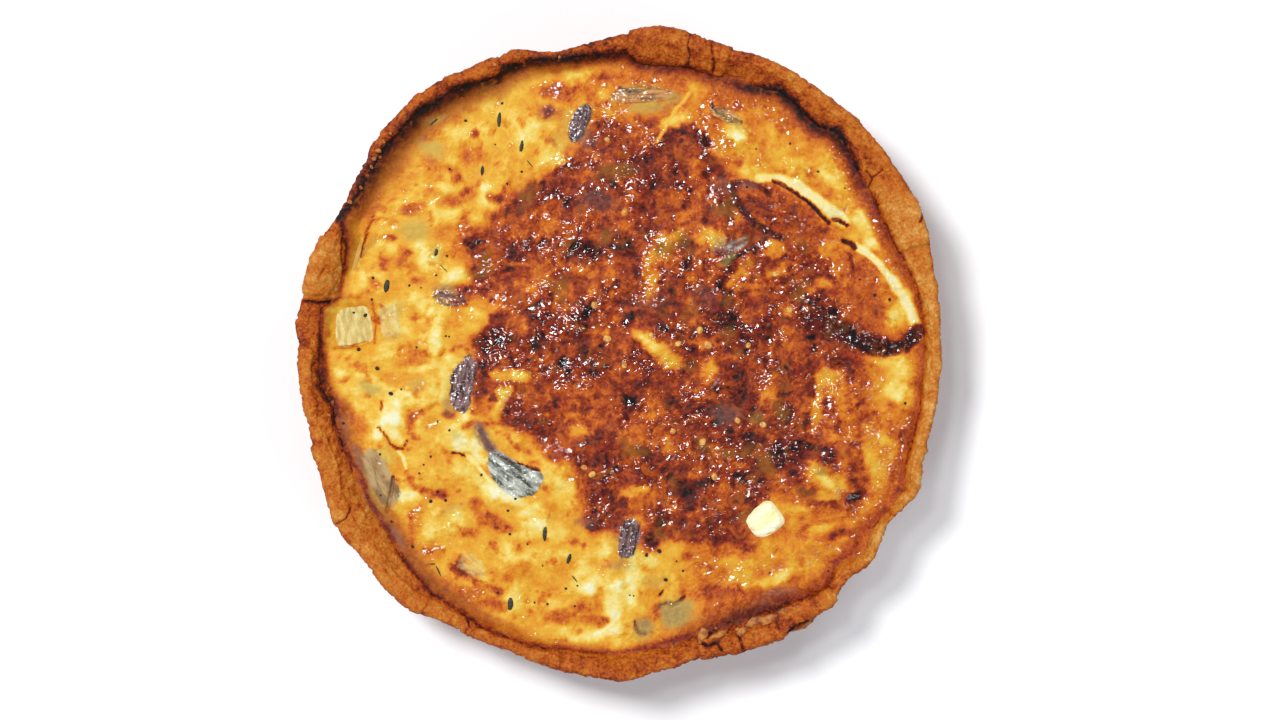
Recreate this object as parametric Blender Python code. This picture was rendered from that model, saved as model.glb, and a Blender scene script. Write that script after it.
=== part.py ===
"""A whole aubergine quiche: a hand-lined shortcrust shell, its baked custard, and the pieces at its top.

Metres, +Z up. The origin is the centre of the flat underside, +Y is the back of the quiche, and a
bearing is measured in degrees from +X, anticlockwise as seen from above.
"""

import math
from dataclasses import dataclass

import bmesh
import bpy
from mathutils import Matrix, Vector, noise

MM = 0.001

# The shell
RIM_RADIUS = 118.9 * MM  # the rim's outer edge, before its folds
BASE_RADIUS = 106.0 * MM
SHELL_HEIGHT = 35.5 * MM  # the rim's crest, before its folds
BASE_THICKNESS = 4.5 * MM
BASE_ROUND = 2.5 * MM  # the outer corner round the base
WALL_THICKNESS = 5.0 * MM  # at the foot of the wall
RIM_WIDTH = 9.0 * MM  # outer edge to filling, before its folds
CREST_INSET = 2.6 * MM
LIP_DROP = 2.4 * MM  # how far the trimmed outer edge lies under the crest
RIM_RAGGED = 0.9 * MM
CREST_RAGGED = 0.7 * MM

# The filling
FILL_LEVEL = 29.5 * MM  # where the custard meets the rim
CUSTARD_CROWN = 1.4 * MM  # how far the middle stands over that
CUSTARD_SWELL = 1.1 * MM
SWELL_LENGTH = 21.0 * MM
GAP = 0.35 * MM  # between neighbouring solids
WALL_CLEARANCE = 1.0 * MM  # between a piece and the shell's wall

FACETS = 132  # round the quiche
TOP_RINGS = (0.965, 0.9, 0.81, 0.7, 0.58, 0.45, 0.32, 0.17)  # shares of the custard's radius
PIECE_SIDES = 18


@dataclass(frozen=True)
class Fold:
    """A fold or a thin place in the rim: where it is, and what it does to the edge, width and crest."""

    bearing: float
    reach: float  # half its width, in degrees
    out: float = 0.0  # mm that the outer edge moves outwards
    grow: float = 0.0  # mm that the rim grows towards the filling
    rise: float = 0.0  # mm that the crest rises

    def share(self, bearing):
        """From 1 in its middle to 0 well away from it."""
        turn = (bearing - self.bearing + 180) % 360 - 180
        return math.exp(-((turn / self.reach) ** 2))


FOLDS = (
    Fold(357, 11, out=0.6, grow=-2.2, rise=-0.6),  # the thin rim on the right
    Fold(12, 6, out=1.6, grow=0.6),
    Fold(24, 8, out=3.2, grow=8.0, rise=1.2),  # the broad flap pressed over the filling
    Fold(40, 16, out=5.6, grow=2.8, rise=0.6),
    Fold(57, 9, out=2.8, grow=0.4, rise=-0.4),
    Fold(67, 6, out=2.4, grow=0.8, rise=0.6),
    Fold(81, 7, out=3.4, grow=4.2, rise=1.6),  # the tucked flap at the back
    Fold(100, 7, out=-3.4, grow=-2.4, rise=-0.8),
    Fold(109, 3, out=1.6, rise=0.9),
    Fold(127, 8, out=3.4, grow=1.4, rise=1.2),
    Fold(139, 4, out=1.6, grow=0.8, rise=-0.3),
    Fold(150, 7, out=-1.8, grow=-0.8, rise=-0.8),
    Fold(164, 6, out=0.2, grow=3.0, rise=1.8),  # the smooth inner wall on the left
    Fold(174, 3, out=1.8, grow=1.6, rise=-1.2),  # past its torn end
    Fold(197, 9, out=-0.4, grow=2.2),
    Fold(214, 10, out=2.8, grow=4.0, rise=0.5),
    Fold(229, 7, out=2.0, grow=2.6, rise=-0.5),
    Fold(248, 9, out=-2.2, grow=-1.6, rise=-0.9),
    Fold(270, 5, out=2.0, grow=1.4, rise=0.8),
    Fold(285, 10, out=-2.4, grow=-0.2, rise=-1.0),
    Fold(303, 7, out=2.0, grow=4.8, rise=0.4),  # the crumpled front right
    Fold(311, 3, out=2.4, grow=-1.6, rise=0.8),
    Fold(321, 3, out=2.6, grow=-1.0, rise=-0.6),
    Fold(328, 13, out=-0.4, grow=-4.4, rise=-0.4),
    Fold(336, 4, out=2.6, rise=0.6),
)


@dataclass(frozen=True)
class Mound:
    """A soft rise in the custard, where something lies under it or where it puffed up."""

    x: float
    y: float
    reach: float
    rise: float  # all in mm

    def height(self, x, y):
        """Its height at a place, all in metres."""
        away = math.hypot(x - self.x * MM, y - self.y * MM) / (self.reach * MM)
        return self.rise * MM * math.exp(-(away**2))


MOUNDS = (
    Mound(78, -45, 15, 2.3),  # the big browned blister
    Mound(91, 28, 13, 1.1),
    Mound(60, 52, 14, 0.9),
    Mound(14, 2, 9, 1.2),
    Mound(-34, -17, 10, 1.3),
    Mound(-66, -30, 12, 1.0),
    Mound(-55, 55, 16, 0.8),
    Mound(22, 30, 12, 1.0),
    Mound(-84, -8, 10, -0.9),
    Mound(-50, -48, 9, -0.8),
    Mound(24, -88, 11, -0.9),
)


@dataclass(frozen=True)
class Piece:
    """Something the size of a berry or larger that lies in the top of the custard."""

    name: str
    food: str
    x: float
    y: float  # its middle, in mm
    turn: float  # bearing of its long side
    length: float
    width: float
    depth: float
    proud: float  # mm of it over the custard
    squareness: float = 2.0  # 2 is an oval, and more is a rounded block
    bow: float = 0.0  # mm that its middle bends sideways
    taper: float = 0.0  # how much wider its far end is


PIECES = (
    Piece("aubergine_slice_back", "aubergine", 60.0, 54.0, -25, 39, 17.5, 6.5, 1.3, 1.9, 1.6, -0.12),
    Piece("aubergine_slice_right", "aubergine", 93.5, 20.5, -60, 46, 24, 5.5, 1.1, 2.3, 1.5, 0.2),
    Piece("aubergine_strip_left", "aubergine", -57.5, -10.5, 78, 26, 10.5, 7, 0.9, 2.4, 2.2),
    Piece("aubergine_curl_front_left", "aubergine", -39.5, -43.5, -34, 25, 13, 7.5, 1.0, 2.6, -3.6, 0.25),
    Piece("aubergine_strip_front", "aubergine", 3.5, -68, 80, 18.5, 9, 7, 0.8, 2.5, -0.8),
    Piece("aubergine_strip_back", "aubergine", -14.5, 86.5, 68, 18.5, 8, 7, 0.8, 2.4, 0.8),
    Piece("aubergine_strip_upper_left", "aubergine", -63, 21.5, -8, 17, 7.5, 6, 0.3, 2.3, -0.8),
    Piece("aubergine_slab_left", "aubergine", -89.0, -45.5, 117, 30, 14, 5, 0.7, 2.4, 1.6),
    Piece("aubergine_sliver_middle", "aubergine", 43.5, 41.5, 24, 15, 6.5, 6, 0.7, 2.1, -0.9, -0.3),
    Piece("leek_square_left", "leek", -99.4, 11.0, 9, 15.5, 15.5, 4, 1.0, 4.5),
    Piece("leek_square_inner", "leek", -85.4, 13.2, 6, 9.5, 15, 5, 0.4, 3.6),
    Piece("leek_strip_upper_left", "leek", -97.6, 37.5, 70, 16, 5.5, 4, 0.3, 2.5, 0.8),
    Piece("leek_strip_back", "leek", 8.0, 96.8, 3, 29, 6.5, 5, 0.7, 2.5, 0.8),
    Piece("leek_strip_back_right", "leek", 39.5, 89.5, -24, 15.5, 5.5, 5, 0.7, 2.2, 0.5),
    Piece("leek_petal_front_left", "leek", -54.0, -78.5, -38, 19, 10.5, 6, 0.7, 2.1, 0, -0.45),
    Piece("cheese_cube", "cheese", 54.2, -61, 38, 13.5, 12, 9, 2.0, 3.4, 0, 0.12),
)

COLOURS = {
    "pastry": (0.56, 0.25, 0.07),
    "custard": (0.78, 0.36, 0.06),
    "aubergine": (0.14, 0.10, 0.09),
    "leek": (0.62, 0.55, 0.24),
    "cheese": (0.93, 0.85, 0.55),
}
ROUGHNESSES = {"pastry": 0.7, "custard": 0.35, "aubergine": 0.4, "leek": 0.45, "cheese": 0.55}


def clear_scene():
    """Empty the scene of what it starts with."""
    for item in list(bpy.data.objects):
        bpy.data.objects.remove(item)


def bearings():
    """Every bearing at which the quiche has a facet's edge."""
    return [360 * i / FACETS for i in range(FACETS)]


def round_noise(bearing, waves, seed):
    """Smooth noise from -1 to 1 round the quiche, with about this many waves to the turn."""
    turn = math.radians(bearing)
    reach = waves / 4
    return noise.noise(Vector((reach * math.cos(turn), reach * math.sin(turn), seed)))


def folded(bearing, effect):
    """The sum of one effect of all the folds at a bearing, in metres."""
    return MM * sum(getattr(fold, effect) * fold.share(bearing) for fold in FOLDS)


def rim_outer(bearing):
    """Radius of the rim's trimmed outer edge."""
    ragged = RIM_RAGGED * (round_noise(bearing, 34, 2.7) + 0.5 * round_noise(bearing, 80, 9.1))
    return RIM_RADIUS + folded(bearing, "out") + ragged


def rim_inner(bearing):
    """Radius where the filling meets the rim."""
    ragged = RIM_RAGGED * round_noise(bearing, 26, 5.3)
    return rim_outer(bearing) - RIM_WIDTH - folded(bearing, "grow") + ragged


def crest_height(bearing):
    """Height of the rim's crest."""
    return SHELL_HEIGHT + folded(bearing, "rise") + CREST_RAGGED * round_noise(bearing, 40, 6.6)


def custard_height(x, y):
    """Height of the custard's top at a place."""
    share = min(1.0, math.hypot(x, y) / rim_inner(math.degrees(math.atan2(y, x))))
    swell = noise.noise(Vector((x, y, 0.0)) / SWELL_LENGTH + Vector((3.1, 7.7, 0.4)))
    swell += 0.45 * noise.noise(Vector((x, y, 0.0)) / (0.45 * SWELL_LENGTH) + Vector((1.3, 4.9, 2.2)))
    level = FILL_LEVEL + CUSTARD_CROWN * (1 - share**2)
    inside = 1 - share**8  # the swells die out at the rim
    return level + inside * (CUSTARD_SWELL * swell + sum(mound.height(x, y) for mound in MOUNDS))


def shell_profile(bearing):
    """(radius, height) from the inside floor, over the rim and down to the underside."""
    outer, inner, crest = rim_outer(bearing), rim_inner(bearing), crest_height(bearing)
    inset = min(CREST_INSET, 0.4 * (outer - inner))
    slope = outer - inset - inner
    rise = crest - FILL_LEVEL
    foot = BASE_RADIUS - WALL_THICKNESS
    bulge = 0.8 * MM * round_noise(bearing, 22, 8.8)
    return (
        (foot - 2.0 * MM, BASE_THICKNESS),
        (foot, BASE_THICKNESS + 2.0 * MM),
        (foot + 0.5 * (inner - foot), 0.5 * (BASE_THICKNESS + FILL_LEVEL)),
        (inner, FILL_LEVEL),
        (inner + 0.45 * slope, FILL_LEVEL + 0.62 * rise),
        (inner + 0.85 * slope, crest - 0.06 * rise),
        (outer - 0.55 * inset, crest),
        (outer - 0.1 * inset, crest - 0.45 * LIP_DROP),
        (outer, crest - LIP_DROP),
        (outer - 1.5 * MM, crest - LIP_DROP - 2.2 * MM),
        (outer - 0.45 * (outer - BASE_RADIUS) + bulge, 0.56 * crest),
        (BASE_RADIUS + 0.6 * MM, BASE_ROUND),
        (BASE_RADIUS - BASE_ROUND, 0.0),
    )


def custard_side(bearing):
    """(radius, height) up the custard's side, which keeps the gap to the shell."""
    (radius, floor), *wall = shell_profile(bearing)[:4]
    return [(radius - GAP, floor + GAP)] + [(radius - GAP, height) for radius, height in wall]


def new_object(name, mesh_builder, food):
    """A named object with its food's finish and the mesh that the builder left."""
    mesh = bpy.data.meshes.new(name)
    bmesh.ops.recalc_face_normals(mesh_builder, faces=mesh_builder.faces[:])
    mesh_builder.to_mesh(mesh)
    mesh_builder.free()
    mesh.shade_smooth()
    mesh.set_sharp_from_angle(angle=math.radians(50))
    item = bpy.data.objects.new(name, mesh)
    bpy.context.scene.collection.objects.link(item)
    mesh.materials.append(finish(name, food))
    return item


def finish(name, food):
    """A plain material for one object."""
    material = bpy.data.materials.new(name)
    material.use_nodes = True
    shader = material.node_tree.nodes["Principled BSDF"]
    shader.inputs["Base Color"].default_value = (*COLOURS[food], 1.0)
    shader.inputs["Roughness"].default_value = ROUGHNESSES[food]
    return material


def turned_rings(builder, rings):
    """Join rings of (x, y, z) points, each as long as the last, with bands of faces."""
    made = [[builder.verts.new(point) for point in ring] for ring in rings]
    for low, high in zip(made, made[1:]):
        for i in range(len(low)):
            j = (i + 1) % len(low)
            builder.faces.new((low[i], low[j], high[j], high[i]))
    return made


def close_over(builder, ring, point):
    """Close a ring with a fan of faces to a point over its middle."""
    middle = builder.verts.new(point)
    for i, corner in enumerate(ring):
        builder.faces.new((corner, ring[(i + 1) % len(ring)], middle))


def at(radius, bearing, height):
    """The point at a radius, bearing and height."""
    turn = math.radians(bearing)
    return Vector((radius * math.cos(turn), radius * math.sin(turn), height))


def rings_of(profile_at):
    """The rings that a profile of (radius, height) makes as it goes round the quiche."""
    turned = [[at(radius, bearing, height) for radius, height in profile_at(bearing)] for bearing in bearings()]
    return [list(ring) for ring in zip(*turned)]


def make_crust():
    """The pastry shell, from the inside floor round to the underside."""
    builder = bmesh.new()
    rings = turned_rings(builder, rings_of(shell_profile))
    builder.faces.new(rings[0])
    builder.faces.new(rings[-1])
    return new_object("crust", builder, "pastry")


def custard_ring(share):
    """A ring of the custard's top, at this share of its radius."""
    ring = []
    for bearing in bearings():
        place = at(share * (rim_inner(bearing) - GAP), bearing, 0.0)
        ring.append(Vector((place.x, place.y, custard_height(place.x, place.y))))
    return ring


def make_custard():
    """The filling, one solid from the shell's floor to its browned top."""
    builder = bmesh.new()
    rings = turned_rings(builder, rings_of(custard_side) + [custard_ring(share) for share in TOP_RINGS])
    builder.faces.new(rings[0])
    close_over(builder, rings[-1], Vector((0.0, 0.0, custard_height(0.0, 0.0))))
    return new_object("custard", builder, "custard")


def kept_inside(point, depth, clearance):
    """The point itself or, where the shell's sloping wall is in its way at this depth, the nearest free one."""
    inner = rim_inner(math.degrees(math.atan2(point.y, point.x)))
    foot = BASE_RADIUS - WALL_THICKNESS
    slope = max(0.0, inner - foot) / (FILL_LEVEL - BASE_THICKNESS)
    farthest = inner - slope * (depth + CUSTARD_SWELL) - clearance
    return point * min(1.0, farthest / point.length)


def piece_outline(piece, wider=0.0, share=1.0):
    """The points round a piece as seen from above, in metres."""
    half_length, half_width = (0.5 * MM * size + wider for size in (piece.length, piece.width))
    place = Matrix.Rotation(math.radians(piece.turn), 2)
    middle = Vector((piece.x * MM, piece.y * MM))
    points = []
    for i in range(PIECE_SIDES):
        turn = math.tau * (i + 0.5) / PIECE_SIDES
        along, across = (
            math.copysign(abs(part) ** (2 / piece.squareness), part) for part in (math.cos(turn), math.sin(turn))
        )
        x = share * half_length * along
        y = share * half_width * across * (1 + piece.taper * along) + piece.bow * MM * (0.5 - (share * along) ** 2)
        clearance = WALL_CLEARANCE - wider + 3 * MM * (1 - share)
        points.append(kept_inside(place @ Vector((x, y)) + middle, piece.depth * MM, clearance))
    return points


def piece_floor(piece):
    """Height of a piece's flat underside."""
    return custard_height(piece.x * MM, piece.y * MM) - piece.depth * MM


def make_piece(piece):
    """A piece of the topping, with a soft upper edge and a top that follows the custard."""
    floor, proud = piece_floor(piece), piece.proud * MM
    foot = [Vector((x, y, floor)) for x, y in piece_outline(piece)]
    shoulder = [Vector((x, y, custard_height(x, y) + 0.15 * proud)) for x, y in piece_outline(piece)]
    brow = [Vector((x, y, custard_height(x, y) + proud)) for x, y in piece_outline(piece, share=0.82)]
    builder = bmesh.new()
    rings = turned_rings(builder, (foot, shoulder, brow))
    builder.faces.new(rings[0])
    x, y = piece.x * MM, piece.y * MM
    close_over(builder, rings[-1], Vector((x, y, custard_height(x, y) + 1.15 * proud)))
    return new_object(piece.name, builder, piece.food)


def make_socket(piece, collection):
    """The cutter that leaves a piece its place in the custard."""
    outline = piece_outline(piece, wider=GAP)
    floor, over = piece_floor(piece) - GAP, SHELL_HEIGHT + 10 * MM
    builder = bmesh.new()
    rings = turned_rings(builder, [[Vector((x, y, z)) for x, y in outline] for z in (floor, over)])
    for ring in rings:
        builder.faces.new(ring)
    socket = new_object("socket_" + piece.name, builder, piece.food)
    bpy.context.scene.collection.objects.unlink(socket)
    collection.objects.link(socket)
    socket.hide_render = True
    socket.display_type = "WIRE"


def main():
    """Make the shell, the custard and every piece in it."""
    clear_scene()
    make_crust()
    custard = make_custard()
    sockets = bpy.data.collections.new("sockets")
    bpy.context.scene.collection.children.link(sockets)
    for piece in PIECES:
        make_piece(piece)
        make_socket(piece, sockets)
    cut = custard.modifiers.new("piece sockets", "BOOLEAN")
    cut.operation = "DIFFERENCE"
    cut.solver = "EXACT"
    cut.operand_type = "COLLECTION"
    cut.collection = sockets


main()
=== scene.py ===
"""A whole aubergine quiche: its hand-lined pastry shell, browned custard and the vegetables in its top.

The scene is in metres with +Z up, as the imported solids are. Sizes in this file are in millimetres, and a
bearing is in degrees from +X, anticlockwise as seen from above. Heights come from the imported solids.
"""

import logging
import math
from dataclasses import dataclass
from enum import Enum
from itertools import product
from typing import Any, Optional, Sequence, Union

import bpy
import numpy as np
from mathutils import Matrix, Vector
from mathutils.bvhtree import BVHTree


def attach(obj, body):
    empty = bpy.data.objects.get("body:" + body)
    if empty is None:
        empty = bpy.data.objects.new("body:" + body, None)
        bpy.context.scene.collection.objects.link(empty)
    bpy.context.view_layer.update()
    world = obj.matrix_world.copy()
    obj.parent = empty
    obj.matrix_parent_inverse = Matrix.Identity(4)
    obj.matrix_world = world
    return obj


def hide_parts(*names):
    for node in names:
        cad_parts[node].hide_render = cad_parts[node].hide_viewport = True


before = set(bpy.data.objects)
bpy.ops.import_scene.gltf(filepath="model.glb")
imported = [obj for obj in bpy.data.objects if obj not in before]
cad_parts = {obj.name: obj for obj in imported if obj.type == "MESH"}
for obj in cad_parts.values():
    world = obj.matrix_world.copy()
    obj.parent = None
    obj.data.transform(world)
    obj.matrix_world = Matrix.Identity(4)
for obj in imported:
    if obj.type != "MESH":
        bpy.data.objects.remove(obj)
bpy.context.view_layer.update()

MM = 0.001
BODY = "root"
LIGHT_LEVEL = 1.28  # what the lamps bring a flat white surface to
BRIGHTEST = 0.98  # the most that a surface gives back
FILL_LEVEL = 29.5  # where the custard meets the shell
BASE_THICKNESS = 4.5
BASE_RADIUS = 106.0
WALL_FOOT = 101.0  # inside radius of the wall at its foot
SHELL_GAP = 0.35
RISE_SCALE = 1.2  # how far the baked top's fine shape stands out
HIDDEN_TONE = 0.3  # what the custard's hidden sides keep

Array = np.ndarray
Colour = tuple[float, float, float]
Place = tuple[float, float]
Row = tuple[float, ...]
Faces = list[list[int]]

log = logging.getLogger("quiche")


def linear(colour: Colour) -> tuple[float, float, float, float]:
    """Turn a colour as seen on the lit quiche into what a shader takes.

    Args:
        colour: red, green and blue from 0 to 255.

    Returns:
        Linear red, green, blue and 1.
    """
    parts = [part / 255 for part in colour]
    parts = [part / 12.92 if part < 0.04045 else ((part + 0.055) / 1.055) ** 2.4 for part in parts]
    return (*[min(BRIGHTEST, part / LIGHT_LEVEL) for part in parts], 1.0)


def ease(low: float, high: float, value: Array) -> Array:
    """Rise smoothly from 0 at low to 1 at high, or fall where high is the smaller."""
    share = np.clip((value - low) / (high - low), 0.0, 1.0)
    return share * share * (3 - 2 * share)


def blend(start: Any, end: Any, share: Any) -> Any:
    """Go from start to end by a share."""
    return start + (end - start) * share


class Noise:
    """Smooth random fields through space, the same on every run."""

    ROWS = 256  # in each table
    STRETCH = 1.7  # brings one layer to between -1 and 1
    LAYER_SHIFT = 37.3  # between the places where two layers are read
    RIDGE_SHIFT = 17.9
    RIDGE_GAIN = 0.55
    FAR = 9.0

    def __init__(self, seed: int) -> None:
        """Draw the tables that every field is read from.

        Args:
            seed: which set of tables.
        """
        draw = np.random.default_rng(seed)
        slopes = draw.normal(size=(self.ROWS, 3))
        self.order = draw.permutation(self.ROWS)
        self.slopes = slopes / np.linalg.norm(slopes, axis=1, keepdims=True)
        self.spots = draw.random((self.ROWS, 3))

    def pick(self, cell: Array) -> Array:
        """The table row of each whole-numbered cell."""
        row = self.order[cell[:, 0] % self.ROWS]
        for axis in (1, 2):
            row = self.order[(row + cell[:, axis]) % self.ROWS]
        return row

    def smooth(self, points: Array, size: float) -> Array:
        """One layer of the field.

        Args:
            points: places, one row each.
            size: how far apart its hills are, in mm.

        Returns:
            Values mostly between -1 and 1.
        """
        place = points / size
        cell = np.floor(place).astype(np.int64)
        part = place - cell
        soft = part**3 * (part * (part * 6 - 15) + 10)
        total = np.zeros(len(points))
        for corner in product((0, 1), repeat=3):
            slope = self.slopes[self.pick(cell + corner)]
            share = np.ones(len(points))
            for axis, side in enumerate(corner):
                share = share * (soft[:, axis] if side else 1 - soft[:, axis])
            total += share * np.sum(slope * (part - corner), axis=1)
        return self.STRETCH * total

    def rough(self, points: Array, size: float, layers: int = 4, gain: float = 0.5) -> Array:
        """Layers of the field, each half the size of the last.

        Args:
            points: places, one row each.
            size: how far apart the widest hills are, in mm.
            layers: how many layers.
            gain: how strong each layer is against the last.

        Returns:
            Values mostly between -1 and 1.
        """
        total, weight = np.zeros(len(points)), 0.0
        for layer in range(layers):
            total += gain**layer * self.smooth(points + self.LAYER_SHIFT * layer, size / 2**layer)
            weight += gain**layer
        return total / weight**0.75

    def ridges(self, points: Array, size: float, layers: int = 3) -> Array:
        """Sharp winding ridges.

        Args:
            points: places, one row each.
            size: how far apart the widest ridges are, in mm.
            layers: how many layers.

        Returns:
            Values from 0 in the valleys to 1 on the ridges.
        """
        total, weight = np.zeros(len(points)), 0.0
        for layer in range(layers):
            valley = np.abs(self.smooth(points + self.RIDGE_SHIFT * layer, size / 2**layer))
            total += self.RIDGE_GAIN**layer * (1 - valley) ** 2
            weight += self.RIDGE_GAIN**layer
        return total / weight

    def cells(self, points: Array, size: float) -> tuple[Array, Array]:
        """Round spots scattered in the plane.

        Args:
            points: places, one row each, of which height is left out.
            size: how far apart the spots are, in mm.

        Returns:
            The distance to the nearest spot, where 1 is the size, and a random number for that spot.
        """
        place = points / size
        cell = np.floor(place).astype(np.int64)
        cell[:, 2] = 0
        nearest = np.full(len(points), self.FAR)
        number = np.zeros(len(points))
        for side in product((-1, 0, 1), repeat=2):
            there = cell + (*side, 0)
            spot = self.spots[self.pick(there)]
            away = np.hypot(*(there[:, :2] + spot[:, :2] - place[:, :2]).T)
            closer = away < nearest
            nearest[closer] = away[closer]
            number[closer] = spot[closer, 2]
        return nearest, number


@dataclass(frozen=True)
class Grain:
    """One use of the layered field: where in the tables it is read, and how coarse and how rough it is."""

    shift: float
    size: float  # how far apart its widest hills are, in mm
    layers: int = 3
    gain: float = 0.5

    def at(self, field: Noise, points: Array) -> Array:
        """Its value at each point, mostly between -1 and 1."""
        return field.rough(points + self.shift, self.size, self.layers, self.gain)


def flat_points(x: Array, y: Array) -> Array:
    """Places in the plane as rows of three."""
    return np.column_stack((x, y, np.zeros(len(x))))


# ---------------------------------------------------------------- materials

MATT_ROUGHNESS = 0.6
WET_ROUGHNESS = 0.08
GLINT_TINT = (0.88, 0.95, 1.0, 1.0)


class Wire:
    """One output of a material's node. Arithmetic on it adds the nodes that work it out."""

    def __init__(self, shader: "Shader", output: bpy.types.NodeSocket) -> None:
        """Hold the output of a node and the shader that it is in."""
        self.shader = shader
        self.output = output

    def __add__(self, other: "Value") -> "Wire":
        """Self + other."""
        return self.shader.math("ADD", self, other)

    def __sub__(self, other: "Value") -> "Wire":
        """Self - other."""
        return self.shader.math("SUBTRACT", self, other)

    def __rsub__(self, other: "Value") -> "Wire":
        """Other - self."""
        return self.shader.math("SUBTRACT", other, self)

    def __mul__(self, other: "Value") -> "Wire":
        """Self * other."""
        return self.shader.math("MULTIPLY", self, other)

    __radd__ = __add__
    __rmul__ = __mul__

    def over(self, low: float, high: float) -> "Wire":
        """Rise smoothly from 0 at low to 1 at high."""
        settings = {"interpolation_type": "SMOOTHSTEP"}
        return self.shader.node("ShaderNodeMapRange", settings, {0: self, 1: low, 2: high, 3: 0.0, 4: 1.0})


Value = Union[Wire, float]
Stops = Sequence[tuple[float, Colour]]


class Shader:
    """A material while its nodes are being made."""

    def __init__(self, name: str) -> None:
        """Start an empty material of this name."""
        self.material = bpy.data.materials.new(name)
        self.material.use_nodes = True
        self.tree = self.material.node_tree
        self.tree.nodes.clear()

    def node(self, kind: str, settings: dict[str, Any], sockets: dict[Any, Any],
             output: Union[int, str] = 0) -> Wire:
        """Add a node.

        Args:
            kind: the node's type.
            settings: what is set on it before its sockets, with a ramp's stops under "stops".
            sockets: a number, colour, vector or wire for each input, by name or place.
            output: the output to take, by name or place.

        Returns:
            That output.
        """
        made = self.tree.nodes.new(kind)
        for key, setting in settings.items():
            if key == "stops":
                self.set_stops(made.color_ramp, setting)
            else:
                setattr(made, key, setting)
        for key, value in sockets.items():
            if isinstance(value, Wire):
                self.tree.links.new(value.output, made.inputs[key])
            else:
                made.inputs[key].default_value = value
        return Wire(self, made.outputs[output])

    @staticmethod
    def set_stops(ramp: bpy.types.ColorRamp, stops: Stops) -> None:
        """Give a ramp its stops.

        Args:
            ramp: the node's ramp.
            stops: the place and colour of each.
        """
        while len(ramp.elements) > 1:
            ramp.elements.remove(ramp.elements[-1])
        ramp.elements[0].position = stops[0][0]
        ramp.elements[0].color = linear(stops[0][1])
        for place, colour in stops[1:]:
            ramp.elements.new(place).color = linear(colour)

    def math(self, operation: str, first: Value, second: Value) -> Wire:
        """Work out one operation on two values."""
        return self.node("ShaderNodeMath", {"operation": operation}, {0: first, 1: second})

    def kept(self, name: str) -> Wire:
        """A value that the mesh keeps at each point."""
        return self.node("ShaderNodeAttribute", {"attribute_name": name}, {}, "Fac")

    def kept_vector(self, name: str) -> Wire:
        """A vector that the mesh keeps at each point."""
        return self.node("ShaderNodeAttribute", {"attribute_name": name}, {}, "Vector")

    def place(self) -> Wire:
        """Where the shaded point is, in metres."""
        return self.node("ShaderNodeTexCoord", {}, {}, "Object")

    def grain(self, size: float, detail: float = 2.0, where: Optional[Wire] = None,
              wander: float = 0.0) -> Wire:
        """Random mottling from -0.5 to 0.5.

        Args:
            size: its grain, in mm.
            detail: how many finer layers it has.
            where: the place to read it at, instead of the point's own.
            wander: how far it is pulled about.

        Returns:
            The value.
        """
        sockets = {"Vector": where or self.place(), "Scale": 1 / (size * MM), "Detail": detail}
        return self.node("ShaderNodeTexNoise", {}, {**sockets, "Distortion": wander}) - 0.5

    def ramp(self, value: Value, stops: Stops) -> Wire:
        """Colour a value by stops."""
        return self.node("ShaderNodeValToRGB", {"stops": stops}, {0: value}, "Color")

    def mix(self, share: Value, first: Any, second: Any, how: str = "MIX") -> Wire:
        """Mix two colours.

        Args:
            share: how much of the second.
            first: a wire, or a colour from 0 to 255.
            second: the same.
            how: the way that they mix.

        Returns:
            The mixed colour.
        """
        ends = [end if isinstance(end, Wire) else linear(end) for end in (first, second)]
        settings = {"data_type": "RGBA", "blend_type": how, "clamp_factor": True}
        return self.node("ShaderNodeMix", settings, {0: share, 6: ends[0], 7: ends[1]}, 2)

    def finish(self, colour: Wire, roughness: Value, height: Value, depth: float,
               **fixed: float) -> bpy.types.Material:
        """Join everything to the surface.

        Args:
            colour: its colour.
            roughness: its roughness.
            height: its fine relief, from about -1 to 1.
            depth: how deep that relief is, in mm.
            fixed: other sockets of the shader, with _ for a space, and a number for each.

        Returns:
            The finished material.
        """
        return self.put(self.coat(colour, roughness, self.bump(height, depth), **fixed))

    def glaze(self, colour: Wire, wet: Value, height: Value) -> bpy.types.Material:
        """Join everything to a surface that is matt in places and wet in others.

        Args:
            colour: its colour.
            wet: how wet it is, from 0 to 1.
            height: its fine relief, in mm.

        Returns:
            The finished material.
        """
        bump = self.bump(height, 1.0)
        matt = self.coat(colour, MATT_ROUGHNESS, bump, Specular_IOR_Level=0.2)
        shine = self.coat(colour, WET_ROUGHNESS, bump, Specular_IOR_Level=0.7, Specular_Tint=GLINT_TINT)
        return self.put(self.node("ShaderNodeMixShader", {}, {0: wet, 1: matt, 2: shine}))

    def bump(self, height: Value, depth: float) -> Wire:
        """The surface's direction with a relief of this depth, in mm."""
        return self.node("ShaderNodeBump", {}, {"Height": height, "Strength": 1.0, "Distance": depth * MM})

    def coat(self, colour: Wire, roughness: Value, bump: Wire, **fixed: Any) -> Wire:
        """One surface of this colour and roughness, with the other sockets by name, _ for a space."""
        sockets = {"Base Color": colour, "Roughness": roughness, "Normal": bump}
        sockets.update({key.replace("_", " "): value for key, value in fixed.items()})
        return self.node("ShaderNodeBsdfPrincipled", {}, sockets)

    def put(self, surface: Wire) -> bpy.types.Material:
        """End the material with this surface."""
        output = self.tree.nodes.new("ShaderNodeOutputMaterial")
        self.tree.links.new(surface.output, output.inputs["Surface"])
        return self.material


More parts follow.
